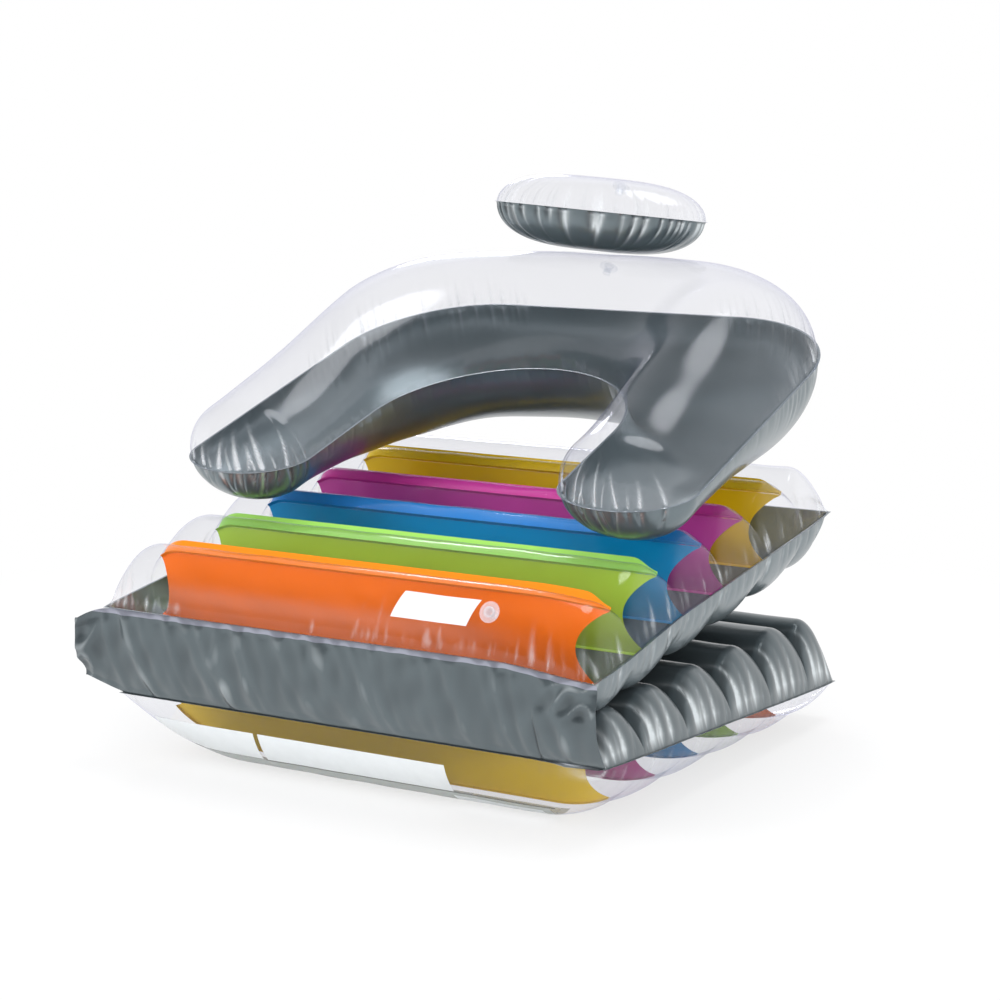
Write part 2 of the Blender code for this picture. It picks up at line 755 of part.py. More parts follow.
def make_backrest(seat):
    height, touch = back_axis_height()
    axis = frame("backrest_axis", seat, (0, BACK_TIP_REACH, height), BACK_TILT - SEAT_TILT)
    clear = backrest_sheet("backrest_clear_sheet", 1, ARM_RISE, CROWN_RISE, "clear_film", axis)
    backrest_sheet("backrest_silver_sheet", -1, ARM_DROP, CROWN_DROP, "silver_film", axis)

    normal = curve_normal(seat_up, touch)
    lift = normal * (GAP + ARM_PATCH_THICK / 2)
    for side, label in ((-1, "left"), (1, "right")):
        disc(f"arm_patch_{label}", ARM_PATCH_RADIUS, ARM_PATCH_THICK, "clear_film", seat,
             (side * arm_middle(), touch + lift.y, seat_up(touch) + SEAM_GAP / 2 + lift.z),
             -atan2(normal.y, normal.z))

    crown_t = (BACK_LENGTH + BACK_INNER_LENGTH) / 2 - ARM_DROP
    half_width = (BACK_LENGTH - BACK_INNER_LENGTH) / 2
    y, z = half_width * sin(BACK_VALVE_DROP), CROWN_RISE * cos(BACK_VALVE_DROP)
    normal = Vector((0, y / half_width ** 2, z / CROWN_RISE ** 2)).normalized()
    valve("backrest", clear, axis, (0, crown_t + y, z + SEAM_GAP / 2), normal)
    return axis, crown_t


def make_headrest(axis, crown_t):
    height, touch_y, touch_z = pillow_height()
    crown = frame("crown_middle", axis, (0, crown_t, 0), -BACK_TILT)
    web_z = touch_z + GAP + PILLOW_WEB_HEIGHT / 2
    bar("headrest_web", (PILLOW_WEB_LENGTH, PILLOW_WEB_WIDTH, PILLOW_WEB_HEIGHT), "clear_film",
        crown, (0, touch_y, web_z))
    hinge = frame("headrest_axis", crown, (0, touch_y, web_z + PILLOW_WEB_HEIGHT / 2))
    pillow = frame("pillow_plane", hinge,
                   (0, PILLOW_SETBACK - touch_y, height - web_z - PILLOW_WEB_HEIGHT / 2))
    pillow.rotation_euler = (-PILLOW_PITCH, PILLOW_ROLL, 0)
    clear = pillow_sheet("headrest_clear_sheet", 1, PILLOW_UP, "clear_film", pillow)
    pillow_sheet("headrest_silver_sheet", -1, PILLOW_DOWN, "silver_film", pillow)
    ring = sin(PILLOW_VALVE_DROP)
    dome = pillow_dome(ring)
    normal = Vector((0, PILLOW_FULLNESS * ring ** (PILLOW_FULLNESS - 1) / PILLOW_DEPTH,
                     dome / PILLOW_UP)).normalized()
    valve("headrest", clear, pillow,
          (0, PILLOW_DEPTH / 2 * ring, PILLOW_UP * dome + SEAM_GAP / 2), normal)


def centre_on_floor():
    """Put the origin under the middle of the whole lounger, on the floor."""
    bpy.context.view_layer.update()
    graph = bpy.context.evaluated_depsgraph_get()
    lows, highs = [], []
    for obj in PARTS.objects:
        if obj.type != "MESH":
            continue
        mesh = obj.evaluated_get(graph).to_mesh()
        points = [obj.matrix_world @ v.co for v in mesh.vertices]
        lows.append([min(p[i] for p in points) for i in range(3)])
        highs.append([max(p[i] for p in points) for i in range(3)])
    low = [min(p[i] for p in lows) for i in range(3)]
    high = [max(p[i] for p in highs) for i in range(3)]
    shift = Vector((-(low[0] + high[0]) / 2, -(low[1] + high[1]) / 2, -low[2]))
    for obj in PARTS.objects:
        if obj.parent is None:
            obj.location += shift
    bpy.context.view_layer.update()


seat_rib_down = resting_depth()
clear_scene()
PARTS = collection("pool_lounger")
CUTTERS = collection("cutters")
seat_hinge, seat_plane = make_seat()
make_strip(seat_hinge)
make_leg()
backrest_axis, crown_place = make_backrest(seat_plane)
make_headrest(backrest_axis, crown_place)
centre_on_floor()
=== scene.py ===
import json
import random
from math import sin, cos, pi, radians

import bpy
import numpy as np
from mathutils import Vector, Matrix


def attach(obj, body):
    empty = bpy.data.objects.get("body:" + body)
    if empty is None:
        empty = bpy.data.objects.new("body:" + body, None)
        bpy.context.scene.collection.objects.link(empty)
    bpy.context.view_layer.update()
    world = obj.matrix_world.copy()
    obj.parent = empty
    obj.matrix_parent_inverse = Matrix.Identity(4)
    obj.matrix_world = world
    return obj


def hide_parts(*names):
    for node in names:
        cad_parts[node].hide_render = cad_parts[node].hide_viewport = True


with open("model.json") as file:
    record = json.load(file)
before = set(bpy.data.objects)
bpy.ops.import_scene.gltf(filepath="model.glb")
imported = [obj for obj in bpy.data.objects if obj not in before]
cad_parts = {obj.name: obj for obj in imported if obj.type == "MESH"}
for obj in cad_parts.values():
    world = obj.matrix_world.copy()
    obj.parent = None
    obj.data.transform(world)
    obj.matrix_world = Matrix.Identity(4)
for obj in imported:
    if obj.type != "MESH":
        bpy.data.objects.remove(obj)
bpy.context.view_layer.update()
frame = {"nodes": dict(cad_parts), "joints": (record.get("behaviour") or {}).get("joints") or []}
hinges = {j["name"]: j.get("pos_m", (0, 0, 0)) for j in frame["joints"]}

film = {
    "thick": 0.0004, "seamGap": 0.0010, "lip": 0.0035,   # every sheet and its weld rim
    "merge": 0.00002, "smooth": radians(50),
    "pinch": 0.004,       # how near the seam a crease starts
}
# painted shade and painted highlight lines beside every crease
creaseShade = {"shift": 0.0026, "darkPower": 1.7, "darkMost": 0.85, "brightPower": 2.2}


def nothingSelected():
    if bpy.context.object and bpy.context.object.mode != "OBJECT":
        bpy.ops.object.mode_set(mode="OBJECT")
    bpy.ops.object.select_all(action="DESELECT")


def pick(obj):
    nothingSelected()
    obj.select_set(True)
    bpy.context.view_layer.objects.active = obj


def newGrid(name, columns, rows):
    nothingSelected()
    bpy.ops.mesh.primitive_grid_add(x_subdivisions=columns, y_subdivisions=rows, size=2)
    obj = bpy.context.object
    obj.name = name
    share = (readPoints(obj) + 1) / 2
    return obj, np.rint(share[:, 0] * columns).astype(int), np.rint(share[:, 1] * rows).astype(int)


def readPoints(obj):
    co = np.empty(len(obj.data.vertices) * 3)
    obj.data.vertices.foreach_get("co", co)
    return co.reshape(-1, 3)


def readNormals(obj):
    obj.data.update()
    n = np.empty(len(obj.data.vertices) * 3)
    obj.data.vertices.foreach_get("normal", n)
    return n.reshape(-1, 3)


def movePoints(obj, points):
    obj.data.vertices.foreach_set("co", np.asarray(points, dtype=float).ravel())
    obj.data.update()


def turnFaces(obj, towards):
    # the whole open sheet looks one way
    n = np.array([f.normal * f.area for f in obj.data.polygons]).sum(0)
    if n @ np.array(towards) < 0:
        pick(obj)
        bpy.ops.object.mode_set(mode="EDIT")
        bpy.ops.mesh.select_all(action="SELECT")
        bpy.ops.mesh.flip_normals()
        bpy.ops.object.mode_set(mode="OBJECT")


def pressIn(obj, amount):
    movePoints(obj, readPoints(obj) - readNormals(obj) * np.asarray(amount)[:, None])


def writeUv(obj, uv):
    layer = obj.data.uv_layers.new(name="sheetMetres") if not obj.data.uv_layers else obj.data.uv_layers[0]
    layer.name = "sheetMetres"
    loops = np.empty(len(obj.data.loops), dtype=int)
    obj.data.loops.foreach_get("vertex_index", loops)
    layer.data.foreach_set("uv", np.asarray(uv, dtype=float)[loops].ravel())


def writeValue(obj, name, values):
    item = obj.data.attributes.new(name=name, type="FLOAT", domain="POINT")
    item.data.foreach_set("value", np.asarray(values, dtype=float))


def closeWall(obj, offset=-1.0):
    pick(obj)
    bpy.ops.object.mode_set(mode="EDIT")
    bpy.ops.mesh.select_all(action="SELECT")
    bpy.ops.mesh.remove_doubles(threshold=film["merge"])
    bpy.ops.mesh.dissolve_degenerate(threshold=film["merge"])
    bpy.ops.object.mode_set(mode="OBJECT")
    mod = obj.modifiers.new("film", "SOLIDIFY")
    mod.thickness = film["thick"]
    mod.offset = offset
    bpy.ops.object.modifier_apply(modifier=mod.name)
    bpy.ops.object.shade_smooth_by_angle(angle=film["smooth"])


def waver(x, y, size, seedValue):
    # gentle unevenness of about -1 to 1
    rng = random.Random(seedValue)
    total = 0
    for _ in range(7):
        a, k, p = rng.uniform(0, pi), rng.uniform(0.6, 1.7) * 2 * pi / size, rng.uniform(0, 2 * pi)
        total = total + np.sin((x * cos(a) + y * sin(a)) * k + p)
    return total / 3.2


def scatter(seedValue, count, start, end, depth, width, length, lean=0.25):
    rng = random.Random(seedValue)
    marks = []
    for k in range(count):
        place = start + (end - start) * (k + rng.uniform(0.1, 0.9)) / count
        marks.append((place, depth * rng.uniform(0.35, 1.0), width * rng.uniform(0.7, 1.4),
                      length * rng.uniform(0.5, 1.3), rng.uniform(-lean, lean)))
    return marks


def creases(along, away, marks):
    total = np.zeros_like(along)
    for place, depth, width, length, lean in marks:
        off = np.abs(along - place - lean * away)
        total += depth * np.exp(-off / width) * np.exp(-(away / length) ** 2)
    return total * np.minimum(1, away / film["pinch"])


def shadeCreases(obj, creasesAt, depth):
    # painted shade: a dark line on one side of each crease, and a painted highlight, a bright line, on the
    # other
    dark, paintedBright = creasesAt(creaseShade["shift"]), creasesAt(-creaseShade["shift"])
    dark = np.clip(dark / depth, 0, 1) ** creaseShade["darkPower"]
    writeValue(obj, "fold", dark * creaseShade["darkMost"])
    writeValue(obj, "gleam", np.clip(paintedBright / depth, 0, 1) ** creaseShade["brightPower"])


def fall(share):
    share = np.clip(share, 0, 1)
    return np.sqrt(np.maximum(0, 1 - (1 - share) ** 2))


def newMaterial(name):
    mat = bpy.data.materials.new(name)
    mat.use_nodes = True
    nodes = mat.node_tree.nodes
    return mat, nodes, mat.node_tree.links, nodes["Principled BSDF"]


def node(nodes, kind, **values):
    made = nodes.new(kind)
    for key, value in values.items():
        if key in made.inputs:
            made.inputs[key].default_value = value
        else:
            setattr(made, key, value)
    return made


def maths(nodes, links, operation, a, b=None):
    made = nodes.new("ShaderNodeMath")
    made.operation = operation
    for socket, value in ((made.inputs[0], a), (made.inputs[1], b)):
        if value is None:
            continue
        if isinstance(value, (int, float)):
            socket.default_value = value
        else:
            links.new(value, socket)
    return made.outputs[0]


def blendColour(nodes, links, fac, a, b):
    mix = nodes.new("ShaderNodeMix")
    mix.data_type = "RGBA"
    for socket, value in ((mix.inputs[0], fac), (mix.inputs[6], a), (mix.inputs[7], b)):
        if isinstance(value, (tuple, float, int)):
            socket.default_value = value
        else:
            links.new(value, socket)
    return mix.outputs[2]


def objectPlace(nodes):
    return nodes.new("ShaderNodeTexCoord").outputs["Object"]


def bumpFrom(nodes, links, height, shader, strength, distance):
    bump = node(nodes, "ShaderNodeBump", Strength=strength, Distance=distance)
    links.new(height, bump.inputs["Height"])
    links.new(bump.outputs["Normal"], shader.inputs["Normal"])
    return bump


clearFilm = {
    "straight": (0.982, 0.983, 0.991, 1),   # what one face lets through straight on
    "edge": (0.86, 0.86, 0.91, 1),          # and seen edgeways
    "shine": (0.95, 0.96, 1.0, 1),
    "leastGloss": 0.030,
    "mostGloss": 0.22,
    "edgePower": 5.0,
    "rough": 0.15,
    "milk": (0.86, 0.89, 0.91, 1),          # painted sheen: pale colour for painted highlights along creases and for a painted reflection band
    "milkRough": 0.30, "creaseMilk": 0.75,
    "ripple": (13.0, 0.12, 0.002),          # noise scale, bump strength and distance
    "inkGrain": 60.0, "inkDark": 0.92, "inkRough": 0.32,
}


def inPatch(nodes, links, across, along, patch):
    cx, cy, halfX, halfY, shear = patch
    y = maths(nodes, links, "SUBTRACT", along, cy)
    x = maths(nodes, links, "SUBTRACT", across, cx)
    x = maths(nodes, links, "SUBTRACT", x, maths(nodes, links, "MULTIPLY", y, shear))
    inX = maths(nodes, links, "LESS_THAN", maths(nodes, links, "ABSOLUTE", x), halfX)
    inY = maths(nodes, links, "LESS_THAN", maths(nodes, links, "ABSOLUTE", y), halfY)
    return maths(nodes, links, "MULTIPLY", inX, inY)


def makeClearFilm(name, prints=()):
    mat, nodes, links, shader = newMaterial(name)
    place = objectPlace(nodes)
    rippleScale, rippleStrength, rippleDistance = clearFilm["ripple"]
    noise = node(nodes, "ShaderNodeTexNoise", Scale=rippleScale, Detail=2.0, Roughness=0.5)
    links.new(place, noise.inputs["Vector"])
    shader.inputs["Base Color"].default_value = clearFilm["shine"]
    shader.inputs["Metallic"].default_value = 1.0
    shader.inputs["Roughness"].default_value = clearFilm["rough"]
    bumpFrom(nodes, links, noise.outputs["Fac"], shader, rippleStrength, rippleDistance)
    facing = node(nodes, "ShaderNodeLayerWeight", Blend=0.5)
    power = maths(nodes, links, "POWER", facing.outputs["Facing"], clearFilm["edgePower"])
    gloss = maths(nodes, links, "MULTIPLY_ADD", power, clearFilm["mostGloss"])
    gloss.node.inputs[2].default_value = clearFilm["leastGloss"]
    tint = blendColour(nodes, links, power, clearFilm["straight"], clearFilm["edge"])
    through = nodes.new("ShaderNodeBsdfTransparent")
    links.new(tint, through.inputs["Color"])
    mix = nodes.new("ShaderNodeMixShader")
    links.new(gloss, mix.inputs[0])
    links.new(through.outputs[0], mix.inputs[1])
    links.new(shader.outputs[0], mix.inputs[2])
    # painted highlights along creases and a painted reflection band, as a pale layer over the film
    gleam = node(nodes, "ShaderNodeAttribute", attribute_name="gleam")
    haze = node(nodes, "ShaderNodeAttribute", attribute_name="haze")
    paintedSheenMask = maths(nodes, links, "MULTIPLY", gleam.outputs["Fac"], clearFilm["creaseMilk"])
    paintedSheenMask = maths(nodes, links, "MAXIMUM", paintedSheenMask, haze.outputs["Fac"])
    milk = node(nodes, "ShaderNodeBsdfPrincipled", Roughness=clearFilm["milkRough"])
    milk.inputs["Base Color"].default_value = clearFilm["milk"]
    paintedSheenMix = nodes.new("ShaderNodeMixShader")
    links.new(paintedSheenMask, paintedSheenMix.inputs[0])
    links.new(mix.outputs[0], paintedSheenMix.inputs[1])
    links.new(milk.outputs[0], paintedSheenMix.inputs[2])
    last = paintedSheenMix.outputs[0]
    for item in prints:  # blank printed patches, in metres on the sheet or on the front
        grain = node(nodes, "ShaderNodeTexNoise", Scale=clearFilm["inkGrain"], Detail=2.0)
        links.new(place, grain.inputs["Vector"])
        ink = item["colour"]
        dark = tuple(c * clearFilm["inkDark"] for c in ink) + (1,)
        shade = blendColour(nodes, links, grain.outputs["Fac"], dark, ink + (1,))
        printed = node(nodes, "ShaderNodeBsdfPrincipled", Roughness=clearFilm["inkRough"])
        links.new(shade, printed.inputs["Base Color"])
        parts = nodes.new("ShaderNodeSeparateXYZ")
        if item["on"] == "sheet":
            uv = node(nodes, "ShaderNodeUVMap", uv_map="sheetMetres")
            links.new(uv.outputs[0], parts.inputs[0])
            across, along = parts.outputs[0], parts.outputs[1]
        else:
            links.new(place, parts.inputs[0])
            across, along = parts.outputs[0], parts.outputs[2]
        mask = 0.0
        for patch in item["patches"]:
            mask = maths(nodes, links, "MAXIMUM", inPatch(nodes, links, across, along, patch), mask)
        if item["on"] == "front":
            ahead = maths(nodes, links, "LESS_THAN", parts.outputs[1], item["ahead"])
            mask = maths(nodes, links, "MULTIPLY", mask, ahead)
        mask = maths(nodes, links, "MULTIPLY", mask, item["cover"])
        both = nodes.new("ShaderNodeMixShader")
        links.new(mask, both.inputs[0])
        links.new(last, both.inputs[1])
        links.new(printed.outputs[0], both.inputs[2])
        last = both.outputs[0]
    links.new(last, nodes["Material Output"].inputs["Surface"])
    return mat


silverFilm = {
    "dark": (0.130, 0.162, 0.176, 1),
    "pale": (0.180, 0.222, 0.240, 1),
    # painted shade colour for creases, then the painted highlight colour beside them
    "fold": (0.045, 0.055, 0.062, 1),
    "band": (0.34, 0.35, 0.42, 1),   # weld band of clear film over the silver
    "gleam": (0.70, 0.75, 0.77, 1),
    "metal": 0.60, "rough": (0.26, 0.36), "coat": 0.35, "coatRough": 0.12,
    "broadScale": 6.0, "fineScale": 26.0, "crumpleDistance": 0.0015,
}


def makeSilverFilm(name, bandHeight=0.0, crumple=0.22, paintedShadeTone=1.0):
    mat, nodes, links, shader = newMaterial(name)
    place = objectPlace(nodes)
    broad = node(nodes, "ShaderNodeTexNoise", Scale=silverFilm["broadScale"], Detail=3.0, Roughness=0.6)
    fine = node(nodes, "ShaderNodeTexNoise", Scale=silverFilm["fineScale"], Detail=4.0, Roughness=0.55,
                Distortion=0.8)
    links.new(place, broad.inputs["Vector"])
    links.new(place, fine.inputs["Vector"])
    dark, pale = (tuple(c * paintedShadeTone for c in silverFilm[k][:3]) + (1,) for k in ("dark", "pale"))
    colour = blendColour(nodes, links, broad.outputs["Fac"], dark, pale)
    # painted shade in the creases and painted highlights beside them
    fold = node(nodes, "ShaderNodeAttribute", attribute_name="fold")
    colour = blendColour(nodes, links, fold.outputs["Fac"], colour, silverFilm["fold"])
    gleam = node(nodes, "ShaderNodeAttribute", attribute_name="gleam")
    colour = blendColour(nodes, links, gleam.outputs["Fac"], colour, silverFilm["gleam"])
    if bandHeight:
        uv = node(nodes, "ShaderNodeUVMap", uv_map="sheetMetres")
        parts = nodes.new("ShaderNodeSeparateXYZ")
        links.new(uv.outputs[0], parts.inputs[0])
        band = maths(nodes, links, "LESS_THAN", parts.outputs[1], bandHeight)
        colour = blendColour(nodes, links, band, colour, silverFilm["band"])
    links.new(colour, shader.inputs["Base Color"])
    shader.inputs["Metallic"].default_value = silverFilm["metal"]
    rough = node(nodes, "ShaderNodeMapRange")
    rough.inputs["To Min"].default_value, rough.inputs["To Max"].default_value = silverFilm["rough"]
    links.new(broad.outputs["Fac"], rough.inputs["Value"])
    links.new(rough.outputs[0], shader.inputs["Roughness"])
    shader.inputs["Coat Weight"].default_value = silverFilm["coat"]
    shader.inputs["Coat Roughness"].default_value = silverFilm["coatRough"]
    bumpFrom(nodes, links, fine.outputs["Fac"], shader, crumple, silverFilm["crumpleDistance"])
    return mat


ribVinyl = {   # wall and welded flange of each colour; the flange is the same vinyl, painted lighter as painted light where it catches more light
    "orange": ((0.98, 0.172, 0.001, 1), (1.0, 0.262, 0.001, 1)),
    "green": ((0.38, 0.62, 0.055, 1), (0.37, 0.75, 0.13, 1)),
    "blue": ((0.001, 0.275, 0.62, 1), (0.018, 0.262, 0.68, 1)),
    "magenta": ((0.60, 0.060, 0.34, 1), (0.72, 0.045, 0.35, 1)),
    "yellow": ((0.82, 0.54, 0.001, 1), (0.96, 0.66, 0.012, 1)),
}


def makeRibVinyl(colourName):
    wall, flange = ribVinyl[colourName]
    mat, nodes, links, shader = newMaterial(colourName + "Vinyl")
    place = objectPlace(nodes)
    noise = node(nodes, "ShaderNodeTexNoise", Scale=9.0, Detail=2.0, Roughness=0.5)
    links.new(place, noise.inputs["Vector"])
    dark = tuple(c * 0.92 for c in wall[:3]) + (1,)
    colour = blendColour(nodes, links, noise.outputs["Fac"], dark, wall)
    # painted light: the top flange gets a lighter copy of the wall's colour
    mark = node(nodes, "ShaderNodeAttribute", attribute_name="flange")
    colour = blendColour(nodes, links, mark.outputs["Fac"], colour, flange)
    links.new(colour, shader.inputs["Base Color"])
    shader.inputs["Roughness"].default_value = 0.30
    shader.inputs["Specular IOR Level"].default_value = 0.25
    weld = node(nodes, "ShaderNodeTexWave", Scale=90.0, Distortion=0.4)
    links.new(place, weld.inputs["Vector"])
    knurl = maths(nodes, links, "MULTIPLY", weld.outputs["Fac"], mark.outputs["Fac"])
    bumpFrom(nodes, links, knurl, shader, 0.18, 0.0004)
    return mat


def makeValveVinyl(name, body):
    mat, nodes, links, shader = newMaterial(name)
    noise = node(nodes, "ShaderNodeTexNoise", Scale=160.0, Detail=2.0)
    links.new(objectPlace(nodes), noise.inputs["Vector"])
    shade = blendColour(nodes, links, noise.outputs["Fac"], (0.66, 0.68, 0.72, 1), (0.84, 0.86, 0.90, 1))
    links.new(shade, shader.inputs["Base Color"])
    shader.inputs["Roughness"].default_value = 0.22
    bumpFrom(nodes, links, noise.outputs["Fac"], shader, 0.12, 0.0004)
    through = node(nodes, "ShaderNodeBsdfTransparent", Color=(0.985, 0.988, 0.995, 1))
    mix = node(nodes, "ShaderNodeMixShader", Fac=body)
    links.new(through.outputs[0], mix.inputs[1])
    links.new(shader.outputs[0], mix.inputs[2])
    links.new(mix.outputs[0], nodes["Material Output"].inputs["Surface"])
    return mat


seatPrint = [{"on": "sheet", "colour": (0.72, 0.74, 0.76), "cover": 1.0,
              "patches": [(0.172, 0.0278, 0.068, 0.0135, 0.55)]}]
legPrint = [
    {"on": "front", "ahead": -0.33, "colour": (0.56, 0.61, 0.59), "cover": 0.5,
     "patches": [(-0.06, 0.010, 0.40, 0.018, 0.0)]},
    {"on": "front", "ahead": -0.395, "colour": (0.82, 0.85, 0.86), "cover": 0.95,
     "patches": [(-0.297, 0.054, 0.104, 0.025, 0.0), (-0.006, 0.054, 0.178, 0.025, 0.0)]},
    {"on": "front", "ahead": -0.33, "colour": (0.82, 0.85, 0.86), "cover": 0.8,
     "patches": [(0.245, 0.012, 0.080, 0.0075, 0.0)]},
    {"on": "front", "ahead": -0.37, "colour": (0.10, 0.10, 0.09), "cover": 0.8,
     "patches": [(0.08, 0.0275, 0.27, 0.0010, 0.0)]},
]

plainClear = makeClearFilm("clearFilm")
seatClear = makeClearFilm("seatClearFilm", seatPrint)
legClear = makeClearFilm("legClearFilm", legPrint)
silver = makeSilverFilm("silverFilm")
# painted shade: darker copies of the silver film, for the leg's top under the seat and for the front strip
legSilver = makeSilverFilm("legSilverFilm", paintedShadeTone=0.66)
stripSilver = makeSilverFilm("stripSilverFilm", bandHeight=0.009, crumple=0.30, paintedShadeTone=0.72)
ribMaterials = {name: makeRibVinyl(name) for name in ribVinyl}
seatValveVinyl = makeValveVinyl("seatValveVinyl", 0.28)
valveVinyl = makeValveVinyl("valveVinyl", 0.05)
print("materials made")


mattress = {
    "width": 0.92, "depth": 0.87,
    "firstRib": 0.1265, "ribPitch": 0.156, "ribs": 5,
    "cornerShare": 0.02, "cornerPower": 8,
    "columns": 230, "rowsPerTube": 42, "fullness": 0.86,
    "sideSpread": 0.86, "rowSpread": 0.35,   # how the grid closes up at the sides and the ribs
    "evenness": 0.16,     # size of the gentle waves on its tubes
    "creaseReach": 0.2,   # creases of the front and rear seams end here
    "weldBefore": 0.010, "weldLength": 0.034, "weldHalf": 0.445, "weldDent": 0.0006,   # round each rib
    "creaseDepth": 0.0042,
}
hingeSet, seatTilt = 0.0008, radians(7.4)   # as in the CAD
seat = {
    "origin": (0, hinges["strip_fold"][1] + hingeSet * cos(seatTilt), hinges["strip_fold"][2] + 0.0001),
    "tilt": seatTilt,
    "ribUp": 0.062, "crownUp": (0.036, 0.041, 0.048, 0.044, 0.042, 0.040),   # one for each tube
    "ribDown": 0.07287, "crownDown": 0.024,
    "droop": 0.016, "droopAcross": (0.28, 0.20), "droopBack": 0.32,   # right front corner
    "milk": 0.03, "milkAt": 0.034, "milkWide": 0.016,   # a painted reflection: the pale band on the front, over the seam
    "milkBack": 0.07, "milkEnd": (0.40, 0.25),
    "roundUp": (0.070, 0.050), "roundDown": (0.085, 0.080),   # at the left and the right end
}
leg = {
    "origin": (0, hinges["leg_fold"][1] + hingeSet, hinges["leg_fold"][2]),
    "tilt": 0.0,
    "seamFront": 0.115, "seamRear": 0.068, "top": 0.143, "crownUp": 0.054, "fullness": 0.62,
    "floorLift": 0.012, "floorPress": 0.003,
    "clearAbove": 0.0022, "clearInside": 0.004,   # room for the seat's underside, off the rim
    "roundUp": (0.045, 0.048), "roundDown": (0.24, 0.15),
}


def tubeEdges():
    ribs = [mattress["firstRib"] + k * mattress["ribPitch"] for k in range(mattress["ribs"])]
    return np.array([0.0] + ribs + [mattress["depth"]])


def tubeShare(t):
    edges = tubeEdges()
    t = np.clip(t, 0, mattress["depth"])
    i = np.clip(np.searchsorted(edges, t, side="right") - 1, 0, len(edges) - 2)
    return i, (t - edges[i]) / (edges[i + 1] - edges[i])


def tubeHeight(t, level, bulge, fullness=None):
    i, s = tubeShare(t)
    bulge = np.broadcast_to(bulge, (mattress["ribs"] + 1,))[i]
    roundOff = np.where(i == 0, fall(s), np.where(i == mattress["ribs"], fall(1 - s), 1.0))
    return level * roundOff + bulge * np.maximum(0, np.sin(pi * s)) ** (fullness or mattress["fullness"])


def legDrop(t):
    return (leg["seamFront"] - leg["seamRear"]) * np.clip(t, 0, mattress["depth"]) / mattress["depth"]


def seatTop(t):
    return tubeHeight(t, seat["ribUp"], seat["crownUp"])


def seatUnder(t):
    return -tubeHeight(t, seat["ribDown"], seat["crownDown"], 1.0)


def legTop(t):
    drop = legDrop(t)
    return tubeHeight(t, leg["top"] - leg["seamFront"] + drop, leg["crownUp"], leg["fullness"]) - drop


def legUnder(t):
    drop = legDrop(t)
    depth = leg["seamFront"] - drop - leg["floorLift"]
    return -tubeHeight(t, depth, leg["floorLift"] + leg["floorPress"], 1.0) - drop


def sidePlace(a, t):
    half = mattress["depth"] / 2
    v = np.clip((t - half) / half, -1, 1)
    return a * mattress["width"] / 2 * np.sqrt(1 - mattress["cornerShare"] * v ** mattress["cornerPower"])


def sheetHeight(x, t, line, seamLine, rounds, side):
    # height of a sheet over its seam plane at any place on it
    half = sidePlace(1.0, t)
    reach = np.maximum(0, half - np.abs(x))
    roundEnd = np.where(x < 0, rounds[0], rounds[1])
    edge = seamLine(t)
    return edge + (line(t) - edge) * fall(reach / roundEnd) + side * film["seamGap"] / 2


def levelSeam(t):
    return np.zeros_like(t)


def legSeam(t):
    return -legDrop(t)


def step(value):
    value = np.clip(value, 0, 1)
    return value * value * (3 - 2 * value)


def cornerDroop(x, t):
    # the seat's right front corner hangs down a little
    start, reach = seat["droopAcross"]
    return seat["droop"] * step((x - start) / reach) * (1 - step(t / seat["droopBack"]))


def toWorld(x, t, n, section):
    a = section["tilt"]
    if section is seat:
        n = n - cornerDroop(x, t)
    ox, oy, oz = section["origin"]
    return np.stack([x + ox, oy + t * cos(a) - n * sin(a), oz + t * sin(a) + n * cos(a)], 1)


def sectionColumns():
    # shares across, with the weld rim past each end
    count = mattress["columns"] - 2
    widest = pi / 2 * mattress["sideSpread"]
    inner = np.sin(np.linspace(-1, 1, count + 1) * widest) / sin(widest)
    rim = 1 + film["lip"] / (mattress["width"] / 2)
    return np.concatenate([[-rim], inner, [rim]])


def sectionRows():
    edges = tubeEdges()
    rows = [-film["lip"]]
    for near, far in zip(edges, edges[1:]):
        s = np.linspace(0, 1, mattress["rowsPerTube"] + 1)[:-1]
        s = s - mattress["rowSpread"] / (2 * pi) * np.sin(2 * pi * s)
        rows += list(near + (far - near) * s)
    return np.array(rows + [mattress["depth"], mattress["depth"] + film["lip"]])


sideMarks = {   # creases along the seams: place, depth, width, length, lean
    "seatRight": scatter(11, 34, 0.0, 0.87, 0.0042, 0.0040, 0.040),
    "seatLeft": scatter(12, 30, 0.0, 0.87, 0.0040, 0.0045, 0.040),
    "seatFront": scatter(13, 30, -0.05, 0.45, 0.0026, 0.0038, 0.050)
    + scatter(14, 14, -0.45, -0.30, 0.0030, 0.0045, 0.035)
    + scatter(15, 14, -0.30, -0.05, 0.0010, 0.004, 0.03),
    "seatRear": scatter(16, 40, -0.45, 0.45, 0.0020, 0.0045, 0.035),
    "legRight": scatter(21, 30, 0.0, 0.87, 0.0028, 0.0062, 0.055)
    + [(mattress["firstRib"] + mattress["ribPitch"] * k + off, depth, 0.0066, reach, -0.22)
       for k in range(-1, mattress["ribs"])
       for off, depth, reach in ((0.040, 0.0052, 0.10), (0.066, 0.0036, 0.08), (0.100, 0.0040, 0.09))],
    "legLeft": scatter(22, 34, 0.0, 0.87, 0.0040, 0.0045, 0.050),
    "legFront": scatter(23, 40, -0.45, 0.45, 0.0022, 0.0045, 0.035),
    "legRear": scatter(24, 40, -0.45, 0.45, 0.0026, 0.0045, 0.040),
}
creaseAmounts = {"seat": {1: 1.0, -1: 1.1}, "leg": {1: 1.2, -1: 0.35}}   # upper and lower side


